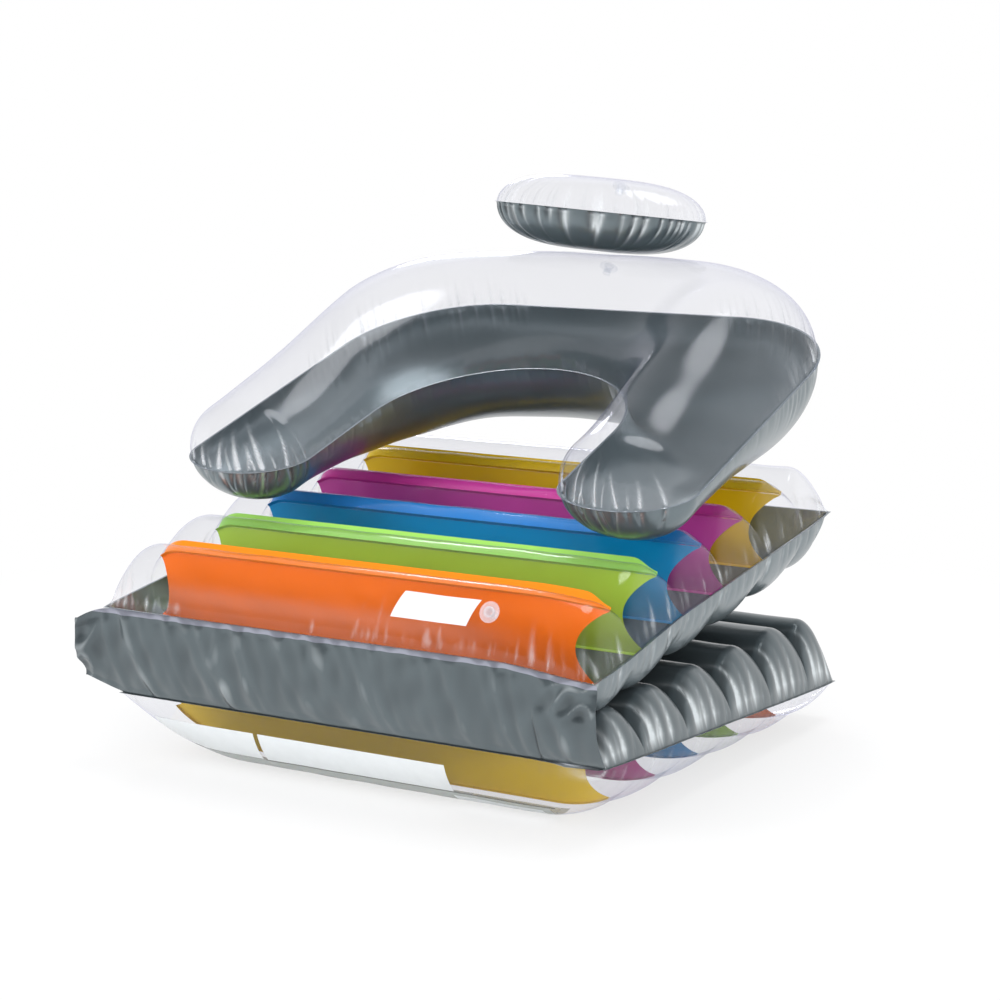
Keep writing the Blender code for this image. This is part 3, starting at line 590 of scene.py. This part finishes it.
def sheetCreases(x, t, rise, label, shift):
    reach = np.maximum(0, sidePlace(1.0, t) - np.abs(x))
    back = np.maximum(0, mattress["depth"] - t)
    near = mattress["creaseReach"]
    right = creases(t + shift, np.hypot(reach, rise), sideMarks[label + "Right"]) * (x > 0)
    left = creases(t + shift, np.hypot(reach, rise), sideMarks[label + "Left"]) * (x < 0)
    front = creases(x + shift, np.hypot(np.maximum(t, 0), rise), sideMarks[label + "Front"]) * (t < near)
    rear = creases(x + shift, np.hypot(back, rise), sideMarks[label + "Rear"]) * (back < near)
    return right + left + front + rear


def mattressSheet(name, section, label, line, seamLine, rounds, side, material, roughness):
    columns, rows = sectionColumns(), sectionRows()
    obj, i, j = newGrid(name, len(columns) - 1, len(rows) - 1)
    a, t = columns[i], rows[j]
    x = sidePlace(a, t)
    n = sheetHeight(x, t, line, seamLine, rounds, side)
    _, s = tubeShare(t)
    belly = np.sin(pi * s) ** 2 * fall((1 - np.abs(a)) * 4)
    n = n + roughness * waver(x, t, mattress["evenness"], label + "broad") * belly * side
    if section is leg and side < 0:
        n = np.maximum(n, -leg["seamFront"])
    movePoints(obj, toWorld(x, t, n, section))
    turnFaces(obj, (0, 0, side))
    rise = np.abs(n - seamLine(t))
    amount = creaseAmounts[label][side]
    dents = sheetCreases(x, t, rise, label, 0.0) * amount
    pastWeld = t - mattress["firstRib"] + mattress["weldBefore"]
    welded = (pastWeld % mattress["ribPitch"] < mattress["weldLength"]) & (pastWeld > 0)
    welded = welded & (np.abs(x) < mattress["weldHalf"])   # the film stays on its ribs
    pressIn(obj, np.where(welded, np.minimum(dents, mattress["weldDent"]), dents))
    if section is leg and side < 0:
        co = readPoints(obj)
        co[:, 2] = np.maximum(co[:, 2], 0.0)
        movePoints(obj, co)
    # painted shade and painted highlights beside the creases
    shadeCreases(obj, lambda shift: sheetCreases(x, t, rise, label, shift) * amount, mattress["creaseDepth"])
    # a painted reflection of the bright floor: a pale band along the seat's front
    if label == "seat" and side > 0:
        end, fade = seat["milkEnd"]
        band = np.exp(-((rise - seat["milkAt"]) / seat["milkWide"]) ** 2) * (t < seat["milkBack"])
        writeValue(obj, "haze", seat["milk"] * band * step((end - x) / fade))
    writeUv(obj, np.stack([x, t], 1))
    obj.data.materials.clear()
    obj.data.materials.append(material)
    return obj


def keepClear(obj):
    # the seat's underside lies on the leg section's top tubes
    co = readPoints(obj)
    t, inside = co[:, 1] - leg["origin"][1], leg["clearInside"]
    over = (t > inside) & (t < mattress["depth"] - inside)
    over = over & (np.abs(co[:, 0]) < sidePlace(1.0, t) - inside)
    top = sheetHeight(co[:, 0], t, legTop, legSeam, leg["roundUp"], 1)
    top = top + leg["origin"][2] + leg["clearAbove"]
    co[:, 2] = np.where(over, np.maximum(co[:, 2], top), co[:, 2])
    movePoints(obj, co)


def finishSheet(obj, body, cadNode):
    closeWall(obj)
    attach(obj, body)
    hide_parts(cadNode)


for label, tint, section, line, seamLine, side, material, roughness in (
        ("seat", "clear", seat, seatTop, levelSeam, 1, seatClear, 0.0008),
        ("seat", "silver", seat, seatUnder, levelSeam, -1, silver, 0.0006),
        ("leg", "clear", leg, legUnder, legSeam, -1, legClear, 0.0010),
        ("leg", "silver", leg, legTop, legSeam, 1, legSilver, 0.0006)):
    rounds = section["roundUp" if side > 0 else "roundDown"]
    made = mattressSheet(f"{label}{tint.title()}Film", section, label, line, seamLine, rounds, side,
                         material, roughness)
    if label == "seat" and side < 0:
        keepClear(made)
    finishSheet(made, label, f"{label}_{tint}_sheet")
print("mattress sheets made")


rib = {
    "left": 0.430, "right": 0.420, "hollow": (0.016, 0.050),   # how far the free ends curve in
    "flangeBefore": 0.005, "flangeBehind": 0.018,
    "under": 0.0011,      # below the film that it is welded to
    "underSilver": 0.0060,   # the same under the leg's opaque film
    "taper": 0.75,        # how much of the flange's width is gone at its right end
    "taperAt": (0.37, 0.05), "lowFlange": 0.3, "lowEnds": (0.008, -0.02),
    "columns": 110, "rows": 18, "flangeRows": 9,
    "bow": 0.006,         # how far the web bows to the front at mid height
    "ripple": (0.0012, 0.09),
}


def makeRib(name, section, t0, lowLine, highLine, lowRounds, highRounds, seamLine, material):
    def webEnd(s, lowEnd, highEnd, hollow):
        return lowEnd + (highEnd - lowEnd) * s - hollow * 4 * s * (1 - s)

    obj, i, j = newGrid(name, rib["columns"], rib["rows"])
    u, s = i / rib["columns"] * 2 - 1, j / rib["rows"]
    lowLeft, lowRight = rib["left"] + rib["lowEnds"][0], rib["right"] + rib["lowEnds"][1]
    half = np.where(u < 0, webEnd(s, lowLeft, rib["left"], rib["hollow"][0]),
                    webEnd(s, lowRight, rib["right"], rib["hollow"][1]))
    x = u * half
    t = np.full_like(x, t0)
    under = {1: rib["underSilver"] if section is leg else rib["under"], -1: rib["under"]}
    low = sheetHeight(x, t, lowLine, seamLine, lowRounds, -1) + under[-1]
    high = sheetHeight(x, t, highLine, seamLine, highRounds, 1) - under[1]
    n = low + (high - low) * s
    ripple, size = rib["ripple"]
    bow = (rib["bow"] + ripple * waver(x, n, size, name)) * np.sin(pi * s)
    movePoints(obj, toWorld(x, t - bow, n, section))
    flags = [np.zeros(len(x))]
    pieces = [obj]
    for side, line, rounds in ((1, highLine, highRounds), (-1, lowLine, lowRounds)):
        strip, i, j = newGrid(name + "flange", rib["columns"], rib["flangeRows"])
        u, s = i / rib["columns"] * 2 - 1, j / rib["flangeRows"]
        ends = (rib["left"], rib["right"]) if side > 0 else (lowLeft, lowRight)
        x = u * np.where(u < 0, *ends)
        start, reach = rib["taperAt"]
        behind = rib["flangeBehind"] * (1 - rib["taper"] * step((x - start) / reach))
        behind = behind * (1 if side > 0 else rib["lowFlange"])
        t = t0 - rib["flangeBefore"] + (rib["flangeBefore"] + behind) * s
        n = sheetHeight(x, t, line, seamLine, rounds, side) - side * under[side]
        if section is leg and side < 0:
            n = np.maximum(n, -leg["seamFront"] + rib["under"])
        movePoints(strip, toWorld(x, t, n, section))
        flags.append(np.full(len(x), max(side, 0)))
        pieces.append(strip)
    for piece, flag in zip(pieces, flags):
        writeValue(piece, "flange", flag)
    nothingSelected()
    for piece in pieces:
        piece.select_set(True)
    bpy.context.view_layer.objects.active = obj
    bpy.ops.object.join()
    obj.data.materials.clear()
    obj.data.materials.append(material)
    mod = obj.modifiers.new("vinyl", "SOLIDIFY")
    mod.thickness = film["thick"]
    mod.offset = 0
    bpy.ops.object.modifier_apply(modifier=mod.name)
    bpy.ops.object.shade_smooth_by_angle(angle=film["smooth"])
    return obj


ribOrder = ("orange", "green", "blue", "magenta", "yellow")
for k, t0 in enumerate(tubeEdges()[1:-1]):
    colour = ribOrder[k]
    made = makeRib(f"seatRib{k + 1}{colour.title()}", seat, t0, seatUnder, seatTop, seat["roundDown"],
                   seat["roundUp"], levelSeam, ribMaterials[colour])
    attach(made, "seat")
    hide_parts(f"seat_rib_{k + 1}_{colour}")
    colour = ribOrder[4 - k]
    made = makeRib(f"legRib{k + 1}{colour.title()}", leg, t0, legUnder, legTop, leg["roundDown"],
                   leg["roundUp"], legSeam, ribMaterials[colour])
    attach(made, "leg")
    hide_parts(f"leg_rib_{k + 1}_{colour}")
print("ribs made")


strip = {
    "left": 0.516, "right": 0.462, "bulge": 0.016, "lean": 0.22,
    "columns": 420, "rows": 48, "clear": 0.0012,
    "hung": scatter(51, 30, -0.47, 0.45, 0.0046, 0.0100, 1.0, 0.14),   # pleats from the top weld
    "drawn": scatter(52, 24, -0.46, 0.40, 0.0042, 0.0110, 1.0, 0.12),  # and from the bottom one
    "endFlap": (0.352, 0.0045),   # where the doubled right end starts, and how far it stands off
    "flapLine": (0.0022, 0.9),    # width and darkness of the painted shade line along its edge
    "darkShare": (90, 0.45, 120, 0.5),    # painted shade of the folds and of the crumpled ends; the next line sets their painted highlights
    "brightShare": (120, 0.38, 220, 0.45),
    "flapFrom": 0.44, "flapLength": 0.072,    # the free left end past the sections
    "slackFrom": 0.35, "slackLength": 0.05, "slackShare": 0.8,
    "flapDraw": (0.020, 0.030), "flapOut": 0.012,
    "folds": (0.0036, 0.0016, 0.05), "crush": (0.0085, 0.080), "fineCrush": (0.0009, 0.034),
}


def pleats(x, d, share, marks):
    total = np.zeros_like(x)
    for place, depth, width, reach, lean in marks:
        off = (x - place - (strip["lean"] + lean) * d) / width
        total += depth * np.exp(-off * off) * np.clip(1 - 0.75 * share / reach, 0, 1)
    return total


def makeStrip():
    obj, i, j = newGrid("hingeStripFilm", strip["columns"], strip["rows"])
    u, s = i / strip["columns"] * 2 - 1, j / strip["rows"]
    s = 1 - s   # 0 at the seat's seam
    x = np.where(u < 0, u * strip["left"], u * strip["right"])
    top = np.array(hinges["strip_fold"])
    foot = np.array(hinges["leg_fold"])
    length = float(np.linalg.norm(foot - top))
    down = (foot - top) / length
    out = np.array([0, down[2], -down[1]])      # forwards
    if out[1] > 0:
        out = -out
    start, end = strip["clear"], length - strip["clear"]
    flap = np.clip((-x - strip["flapFrom"]) / strip["flapLength"], 0, 1)
    slack = np.clip((x - strip["slackFrom"]) / strip["slackLength"], 0, 1)
    lowEnd = start + flap ** 2 * strip["flapDraw"][0]
    highEnd = end - flap ** 1.5 * strip["flapDraw"][1]
    d = lowEnd + (highEnd - lowEnd) * s
    arch = np.sin(pi * s)
    folds = pleats(x, d, s, strip["hung"]) + pleats(x, d, 1 - s, strip["drawn"])
    sink, depth, size = strip["folds"]
    folds = folds - sink + depth * waver(x, d * 0.5, size, "stripfolds")
    depth, size = strip["crush"]
    crush = depth * (0.5 - np.abs(waver(x + 0.5 * d, d, size, "stripcrush")))
    depth, size = strip["fineCrush"]
    crush = crush + depth * waver(x, d, size, "stripfine")
    crush = crush * np.maximum(flap, slack * strip["slackShare"] * (1 - step((s - 0.30) / 0.15)))
    flapStart, flapLift = strip["endFlap"]
    edge = step((x - flapStart) / 0.004) * step((s - 0.30) / 0.25)
    lift = np.minimum(1, s * 12) * np.minimum(1, (1 - s) * 12)
    outward = (strip["bulge"] * arch ** 0.8 + (folds + flapLift * edge) * lift + crush * arch ** 0.5
               + strip["flapOut"] * flap ** 2)
    points = top[None, :] + d[:, None] * down[None, :] + outward[:, None] * out[None, :]
    points[:, 0] = x
    points[:, 2] -= cornerDroop(x, np.zeros_like(x)) * (1 - s)
    movePoints(obj, points)
    turnFaces(obj, (0, -1, 0))
    writeUv(obj, np.stack([x, d], 1))
    # painted shade in the folds, along the flap's edge, at the top of the free left end and in the crumpled
    # ends; painted highlights on fold ridges and crumples
    lineWide, paintedLineShade = strip["flapLine"]
    line = np.exp(-((x - flapStart) / lineWide) ** 2) * step((s - 0.45) / 0.3)
    foldGain, foldMost, crushGain, crushMost = strip["darkShare"]
    shade = np.clip(-folds * foldGain * arch, 0, foldMost) + 0.35 * flap * (s < 0.16)
    shade = shade + np.clip(-crush * crushGain, 0, crushMost)
    writeValue(obj, "fold", np.clip(shade + paintedLineShade * line, 0, 1))
    foldGain, foldMost, crushGain, crushLeast = strip["brightShare"]
    paintedBright = np.clip((folds - 0.0008) * foldGain, 0, foldMost) * arch
    paintedBright = paintedBright + 0.7 * np.clip(crush * crushGain - crushLeast, 0, 1)
    writeValue(obj, "gleam", np.clip(paintedBright, 0, 1))
    obj.data.materials.clear()
    obj.data.materials.append(stripSilver)
    closeWall(obj, 0)
    return obj


stripPiece = makeStrip()
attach(stripPiece, "hinge_strip")
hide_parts("hinge_strip")
print("front strip made")


ring = {
    "axis": hinges["backrest_tilt"], "tilt": radians(17.2),
    "outer": 0.467, "inner": 0.231, "length": 0.774, "innerLength": 0.502, "corner": 0.231, "splay": 0.015,
    "armRise": 0.100, "armDrop": 0.080, "crownRise": 0.156, "crownDrop": 0.143, "reachShare": 0.6,
    "noseSteps": 60, "bodySteps": 230, "columns": 72,
    "girth": 0.10,        # metres along the film from its seam, for each radian round the tube
    "evenness": (0.0016, 0.22), "creaseDepth": 0.0062,
}


def arcPoints(cx, cy, radius, steps=60):
    turns = [pi / 2 * k / steps for k in range(steps + 1)]
    return [(cx + radius * cos(turn), cy + radius * sin(turn)) for turn in turns]


def walkAlong(points, shares):
    pts = np.array(points)
    run = np.concatenate([[0], np.cumsum(np.hypot(*np.diff(pts, axis=0).T))])
    return np.stack([np.interp(shares * run[-1], run, pts[:, c]) for c in (0, 1)], 1)


def ringOutline():
    # inner and outer seam points from a tip to the middle of the crown
    nose = ring["armDrop"]
    middle = (ring["outer"] + ring["inner"]) / 2
    straight = ring["length"] - ring["corner"]
    angle = pi / 2 * (1 - np.arange(ring["noseSteps"]) / ring["noseSteps"])
    half = (ring["outer"] - ring["inner"]) / 2 * np.cos(angle)
    noseT = nose * (1 - np.sin(angle))
    shares = np.linspace(0, 1, ring["bodySteps"] + 1)
    corner = arcPoints(ring["outer"] - ring["corner"], straight, ring["corner"])
    outer = walkAlong([(ring["outer"], nose)] + corner + [(0, ring["length"])], shares)
    crown = arcPoints(0, ring["innerLength"] - ring["inner"], ring["inner"])
    inner = walkAlong([(ring["inner"], nose)] + crown, shares)
    outer = np.concatenate([np.stack([middle + half, noseT], 1), outer])
    inner = np.concatenate([np.stack([middle - half, noseT], 1), inner])
    for seam in (outer, inner):
        noseSplay = ring["splay"] * (1 - nose / straight)
        extra = ring["splay"] * np.maximum(0, 1 - seam[:, 1] / straight)
        extra[:ring["noseSteps"]] = noseSplay
        seam[:, 0] += extra
    rise = np.concatenate([np.zeros(ring["noseSteps"]), np.minimum(shares / ring["reachShare"], 1)])
    rise = rise * rise * (3 - 2 * rise)
    fade = np.concatenate([np.cos(angle), np.ones(len(shares))])
    return inner, outer, rise, fade


def outwardOf(inner, outer):
    # outward directions along both seams, for the weld rim
    line = np.concatenate([inner[::-1], outer[1:]])
    along = np.gradient(line, axis=0)
    along /= np.maximum(1e-9, np.hypot(along[:, 0], along[:, 1]))[:, None]
    out = np.stack([along[:, 1], -along[:, 0]], 1)
    count = len(inner)
    return out[:count][::-1], out[count - 1:]


ringMarks = {   # along the seam from the middle of the nose, outer side positive
    "nose": [(-0.150, 0.005, 0.0030, 0.045, 0.1), (-0.105, 0.0085, 0.0030, 0.055, -0.15),
             (-0.062, 0.0105, 0.0032, 0.062, 0.1), (-0.022, 0.0095, 0.0032, 0.055, 0.05),
             (0.012, 0.0080, 0.0030, 0.048, -0.1), (0.045, 0.0065, 0.0030, 0.040, 0.1),
             (0.085, 0.0060, 0.0030, 0.045, -0.1), (-0.084, 0.0050, 0.0022, 0.035, 0.1),
             (-0.040, 0.0050, 0.0022, 0.040, -0.1), (0.028, 0.0045, 0.0022, 0.03, 0.1),
             (-0.050, 0.0055, 0.0020, 0.048, 0.2), (-0.010, 0.0050, 0.0020, 0.042, 0.15),
             (-0.128, 0.0045, 0.0022, 0.035, 0.1)],
    "corner": scatter(31, 34, 0.50, 1.02, 0.0040, 0.0045, 0.030, 0.1),
    "side": scatter(32, 16, 0.12, 0.50, 0.0014, 0.005, 0.02),
    "inside": [(-p, d, w, l, e) for p, d, w, l, e in scatter(33, 22, 0.16, 0.80, 0.0016, 0.005, 0.025)],
}


def ringSheet(name, side, tip, crown, material, cadNode):
    inner, outer, rise, fade = ringOutline()
    thick = (tip + (crown - tip) * rise) * fade
    outInner, outOuter = outwardOf(inner, outer)
    last = len(inner) - 1
    columns = ring["columns"]
    obj, i, j = newGrid(name, columns, 2 * last)
    k = np.minimum(j, 2 * last - j)
    mirror = np.where(j > last, -1, 1)
    u = (i - 1) / (columns - 2) * 2 - 1
    angle = np.clip(u, -1, 1) * pi / 2
    acrossShare = np.sin(angle)
    middle, span = (inner[k] + outer[k]) / 2, (outer[k] - inner[k]) / 2
    flat = middle + span * acrossShare[:, None]
    flat = flat + np.where((i == 0)[:, None], outInner[k] * film["lip"], 0)
    flat = flat + np.where((i == columns)[:, None], outOuter[k] * film["lip"], 0)
    height = thick[k] * np.cos(angle)
    height[(i == 0) | (i == columns)] = 0

    nose = ring["armDrop"]
    arcOuter = np.concatenate([[0], np.cumsum(np.hypot(*np.diff(outer, axis=0).T))])
    arcInner = np.concatenate([[0], np.cumsum(np.hypot(*np.diff(inner, axis=0).T))])
    halfWide = (ring["outer"] - ring["inner"]) / 2
    inNose = k < ring["noseSteps"]
    noseX = span[:, 0] * acrossShare / halfWide
    noseY = (nose - flat[:, 1]) / nose
    ringShare = np.clip(np.where(inNose, np.hypot(noseX, noseY), np.abs(acrossShare)), 0, 1)
    turn = np.arctan2(np.abs(noseX), np.maximum(noseY, 0))         # 0 straight ahead
    noseArc = np.interp(turn, [0, pi / 2], [0, arcOuter[ring["noseSteps"]]])
    bodyArc = np.where(u > 0, arcOuter[k], arcInner[k])
    along = np.where(inNose, noseArc, bodyArc) * np.where(u > 0, 1, -1)
    away = np.arccos(ringShare) * ring["girth"]
    away[(i == 0) | (i == columns)] = 0
    marks = ringMarks["nose"] + ringMarks["corner"] + ringMarks["side"] + ringMarks["inside"]
    dents = creases(along, away, marks)

    x, y, z = mirror * flat[:, 0], flat[:, 1] - nose, side * (height + film["seamGap"] / 2)
    depth, size = ring["evenness"]
    z = z + side * depth * waver(x, y, size, "ring" + name) * (height > 0) * np.cos(angle)
    a = ring["tilt"]
    ox, oy, oz = ring["axis"]
    movePoints(obj, np.stack([x + ox, oy + y * cos(a) - z * sin(a), oz + y * sin(a) + z * cos(a)], 1))
    turnFaces(obj, (0, 0, side))
    pressIn(obj, dents)
    # painted shade and painted highlights beside the creases
    shadeCreases(obj, lambda shift: creases(along + shift, away, marks), ring["creaseDepth"])
    writeUv(obj, np.stack([along, away * side], 1))
    obj.data.materials.clear()
    obj.data.materials.append(material)
    finishSheet(obj, "backrest", cadNode)
    return obj


ringSheet("backrestClearFilm", 1, ring["armRise"], ring["crownRise"], plainClear,
          "backrest_clear_sheet")
ringSheet("backrestSilverFilm", -1, ring["armDrop"], ring["crownDrop"], silver,
          "backrest_silver_sheet")
print("backrest made")


pillow = {
    "length": 0.404, "depth": 0.190, "up": 0.060, "down": 0.070,
    "roll": radians(3.5), "pitch": radians(5.5), "fullness": 3.3,
    "centre": (0, 0.38142, 0.88763), "roundShare": 0.8, "segments": 360, "rings": 30,
    "marks": scatter(41, 44, -pi, pi, 0.0085, 0.026, 0.050, 0.4),
    "girth": 0.09, "seamRadius": 0.15, "creaseDepth": 0.0042, "rimScale": 1.02,
}


def pillowSheet(name, side, rise, pucker, material, cadNode):
    nothingSelected()
    bpy.ops.mesh.primitive_uv_sphere_add(segments=pillow["segments"], ring_count=pillow["rings"] * 2,
                                         radius=1)
    obj = bpy.context.object
    obj.name = name
    bpy.ops.object.mode_set(mode="EDIT")
    bpy.ops.mesh.select_all(action="SELECT")
    bpy.ops.mesh.bisect(plane_co=(0, 0, -side * 0.001), plane_no=(0, 0, side), clear_inner=True)
    bpy.ops.object.mode_set(mode="OBJECT")
    pick(obj)
    bpy.ops.object.mode_set(mode="EDIT")
    bpy.ops.mesh.select_all(action="SELECT")
    bpy.ops.mesh.region_to_loop()
    bpy.ops.mesh.extrude_region()
    bpy.ops.transform.resize(value=(pillow["rimScale"], pillow["rimScale"], 1))
    bpy.ops.object.mode_set(mode="OBJECT")
    co = readPoints(obj)
    radius = np.hypot(co[:, 0], co[:, 1])
    phi = np.arctan2(co[:, 1], co[:, 0])
    rim = radius > 1.005
    share = pillow["roundShare"]
    ex = np.abs(np.cos(phi)) ** share * np.sign(np.cos(phi))
    ey = np.abs(np.sin(phi)) ** share * np.sign(np.sin(phi))
    ringShare = np.minimum(radius, 1)
    onSeam = rim | (np.abs(co[:, 2]) < 0.002)
    z = np.where(onSeam, 0, np.sqrt(np.maximum(0, 1 - ringShare ** pillow["fullness"]))) * rise
    flat = np.stack([pillow["length"] / 2 * ringShare * ex, pillow["depth"] / 2 * ringShare * ey], 1)
    unit = flat / np.maximum(1e-9, np.hypot(flat[:, 0], flat[:, 1]))[:, None]
    flat = flat + unit * np.where(rim, film["lip"], 0)[:, None]
    z = side * (z + film["seamGap"] / 2)
    lie = Matrix.Rotation(pillow["roll"], 3, "Y") @ Matrix.Rotation(-pillow["pitch"], 3, "X")
    shape = np.stack([flat[:, 0], flat[:, 1], z], 1)
    movePoints(obj, shape @ np.array(lie).T + np.array(pillow["centre"]))
    turnFaces(obj, (0, 0, side))
    away = np.where(rim, 0, np.arcsin(np.clip(np.abs(co[:, 2]), 0, 1)) * pillow["girth"])
    marks, radiusAt = pillow["marks"], pillow["seamRadius"]
    pressIn(obj, creases(phi, away, marks) * pucker)
    # painted shade and painted highlights beside the creases
    shadeCreases(obj, lambda shift: creases(phi + shift / radiusAt, away, marks) * pucker,
                 pillow["creaseDepth"])
    writeUv(obj, np.stack([phi * radiusAt, away * side], 1))
    obj.data.materials.clear()
    obj.data.materials.append(material)
    finishSheet(obj, "headrest", cadNode)
    return obj


pillowSheet("headrestClearFilm", 1, pillow["up"], 0.3, plainClear, "headrest_clear_sheet")
pillowSheet("headrestSilverFilm", -1, pillow["down"], 1.0, silver, "headrest_silver_sheet")
print("pillow made")


for name, obj in frame["nodes"].items():
    if "valve" in name or "patch" in name or "web" in name:
        obj.data.materials.clear()
        obj.data.materials.append(seatValveVinyl if "seat" in name else valveVinyl)


studio = {
    "camera": {"azimuth": 31.265, "elevation": 11.313, "target": (0, -0.0963, 0.3105), "distance": 4.216,
               "lens": 90.27, "shiftX": 0.0384, "shiftY": 0.0712},
    "lamps": [   # place, size, power, seen in gloss
        ((-2.3, -2.9, 2.6), 2.8, 72, False),
        ((2.2, -3.2, 1.3), 2.6, 44, False),
        ((0.4, 0.4, 3.0), 1.8, 34, True),
        ((-1.9, 2.8, 1.8), 0.8, 20, True),
        ((2.6, 1.8, 1.6), 1.6, 14, False),
    ],
    "air": 0.88,                  # world light on diffuse surfaces
    "darkSide": (0, -0.6, 0.8),   # the dark end of the studio, as gloss shows it
    "darkLevel": 0.12, "darkFrom": -0.05, "darkTo": 0.75,
    "floor": (0.84, 0.86), "glow": (0.72, 1.0), "glowReach": (0.6, 1.8),
}


def aim(obj, place, target):
    back = (Vector(place) - Vector(target)).normalized()
    right = Vector((0, 0, 1)).cross(back).normalized()
    up = back.cross(right)
    obj.matrix_world = Matrix.Translation(place) @ Matrix((right, up, back)).transposed().to_4x4()


def makeFloor():
    nothingSelected()
    bpy.ops.mesh.primitive_plane_add(size=24, location=(0, 0, -0.0006))
    floor = bpy.context.object
    floor.name = "studioFloor"
    mat, nodes, links, shader = newMaterial("paleFloor")
    grain = node(nodes, "ShaderNodeTexNoise", Scale=14.0, Detail=3.0)
    place = objectPlace(nodes)
    links.new(place, grain.inputs["Vector"])
    dark, pale = ((level, level, level, 1) for level in studio["floor"])
    colour = blendColour(nodes, links, grain.outputs["Fac"], dark, pale)
    links.new(colour, shader.inputs["Base Color"])
    shader.inputs["Roughness"].default_value = 0.7
    length = node(nodes, "ShaderNodeVectorMath", operation="LENGTH")
    links.new(place, length.inputs[0])
    far = node(nodes, "ShaderNodeMapRange")
    far.inputs["From Min"].default_value, far.inputs["From Max"].default_value = studio["glowReach"]
    far.inputs["To Min"].default_value, far.inputs["To Max"].default_value = studio["glow"]
    links.new(length.outputs["Value"], far.inputs["Value"])
    rays = nodes.new("ShaderNodeLightPath")
    seen = maths(nodes, links, "MAXIMUM", rays.outputs["Is Camera Ray"], rays.outputs["Is Glossy Ray"])
    seen = maths(nodes, links, "MAXIMUM", seen, rays.outputs["Is Transmission Ray"])
    share = maths(nodes, links, "MULTIPLY", seen, far.outputs[0])
    glow = node(nodes, "ShaderNodeEmission", Color=(1, 1, 1, 1), Strength=1.0)
    mix = nodes.new("ShaderNodeMixShader")
    links.new(share, mix.inputs[0])
    links.new(shader.outputs[0], mix.inputs[1])
    links.new(glow.outputs[0], mix.inputs[2])
    links.new(mix.outputs[0], nodes["Material Output"].inputs["Surface"])
    floor.data.materials.append(mat)


def makeWorld():
    world = bpy.data.worlds.new("studioAir")
    bpy.context.scene.world = world
    world.use_nodes = True
    nodes, links = world.node_tree.nodes, world.node_tree.links
    air = nodes["Background"]
    air.inputs["Color"].default_value = (0.97, 0.98, 1.0, 1)
    air.inputs["Strength"].default_value = studio["air"]
    way = nodes.new("ShaderNodeTexCoord").outputs["Generated"]
    dot = node(nodes, "ShaderNodeVectorMath", operation="DOT_PRODUCT")
    links.new(way, dot.inputs[0])
    dot.inputs[1].default_value = studio["darkSide"]
    shade = node(nodes, "ShaderNodeMapRange", interpolation_type="SMOOTHSTEP")
    shade.inputs["From Min"].default_value = studio["darkFrom"]
    shade.inputs["From Max"].default_value = studio["darkTo"]
    shade.inputs["To Min"].default_value = 1.0
    shade.inputs["To Max"].default_value = studio["darkLevel"]
    links.new(dot.outputs["Value"], shade.inputs["Value"])
    white = node(nodes, "ShaderNodeBackground", Color=(1, 1, 1, 1))
    rays = nodes.new("ShaderNodeLightPath")
    level = maths(nodes, links, "MAXIMUM", shade.outputs[0], rays.outputs["Is Camera Ray"])
    links.new(level, white.inputs["Strength"])
    seen = maths(nodes, links, "MAXIMUM", rays.outputs["Is Camera Ray"], rays.outputs["Is Glossy Ray"])
    seen = maths(nodes, links, "MAXIMUM", seen, rays.outputs["Is Transmission Ray"])
    mix = nodes.new("ShaderNodeMixShader")
    links.new(seen, mix.inputs[0])
    links.new(air.outputs[0], mix.inputs[1])
    links.new(white.outputs[0], mix.inputs[2])
    links.new(mix.outputs[0], nodes["World Output"].inputs["Surface"])


def makeLamps():
    for k, (place, size, power, inGloss) in enumerate(studio["lamps"]):
        data = bpy.data.lights.new(f"softLamp{k + 1}", "AREA")
        data.shape = "DISK"
        data.size = size
        data.energy = power
        lamp = bpy.data.objects.new(data.name, data)
        bpy.context.scene.collection.objects.link(lamp)
        lamp.visible_glossy = inGloss
        aim(lamp, place, (0, 0, 0.35))


def makeCamera():
    view = studio["camera"]
    az, el = radians(view["azimuth"]), radians(view["elevation"])
    back = Vector((sin(az) * cos(el), -cos(az) * cos(el), sin(el)))
    data = bpy.data.cameras.new("photoView")
    data.sensor_width = 36
    data.lens = view["lens"]
    data.shift_x, data.shift_y = view["shiftX"], view["shiftY"]
    camera = bpy.data.objects.new("photoView", data)
    bpy.context.scene.collection.objects.link(camera)
    aim(camera, Vector(view["target"]) + back * view["distance"], view["target"])
    bpy.context.scene.camera = camera


makeFloor()
makeWorld()
makeLamps()
makeCamera()
bpy.context.scene.view_settings.view_transform = "Standard"
bpy.context.scene.cycles.transparent_max_bounces = 32
print("studio made")
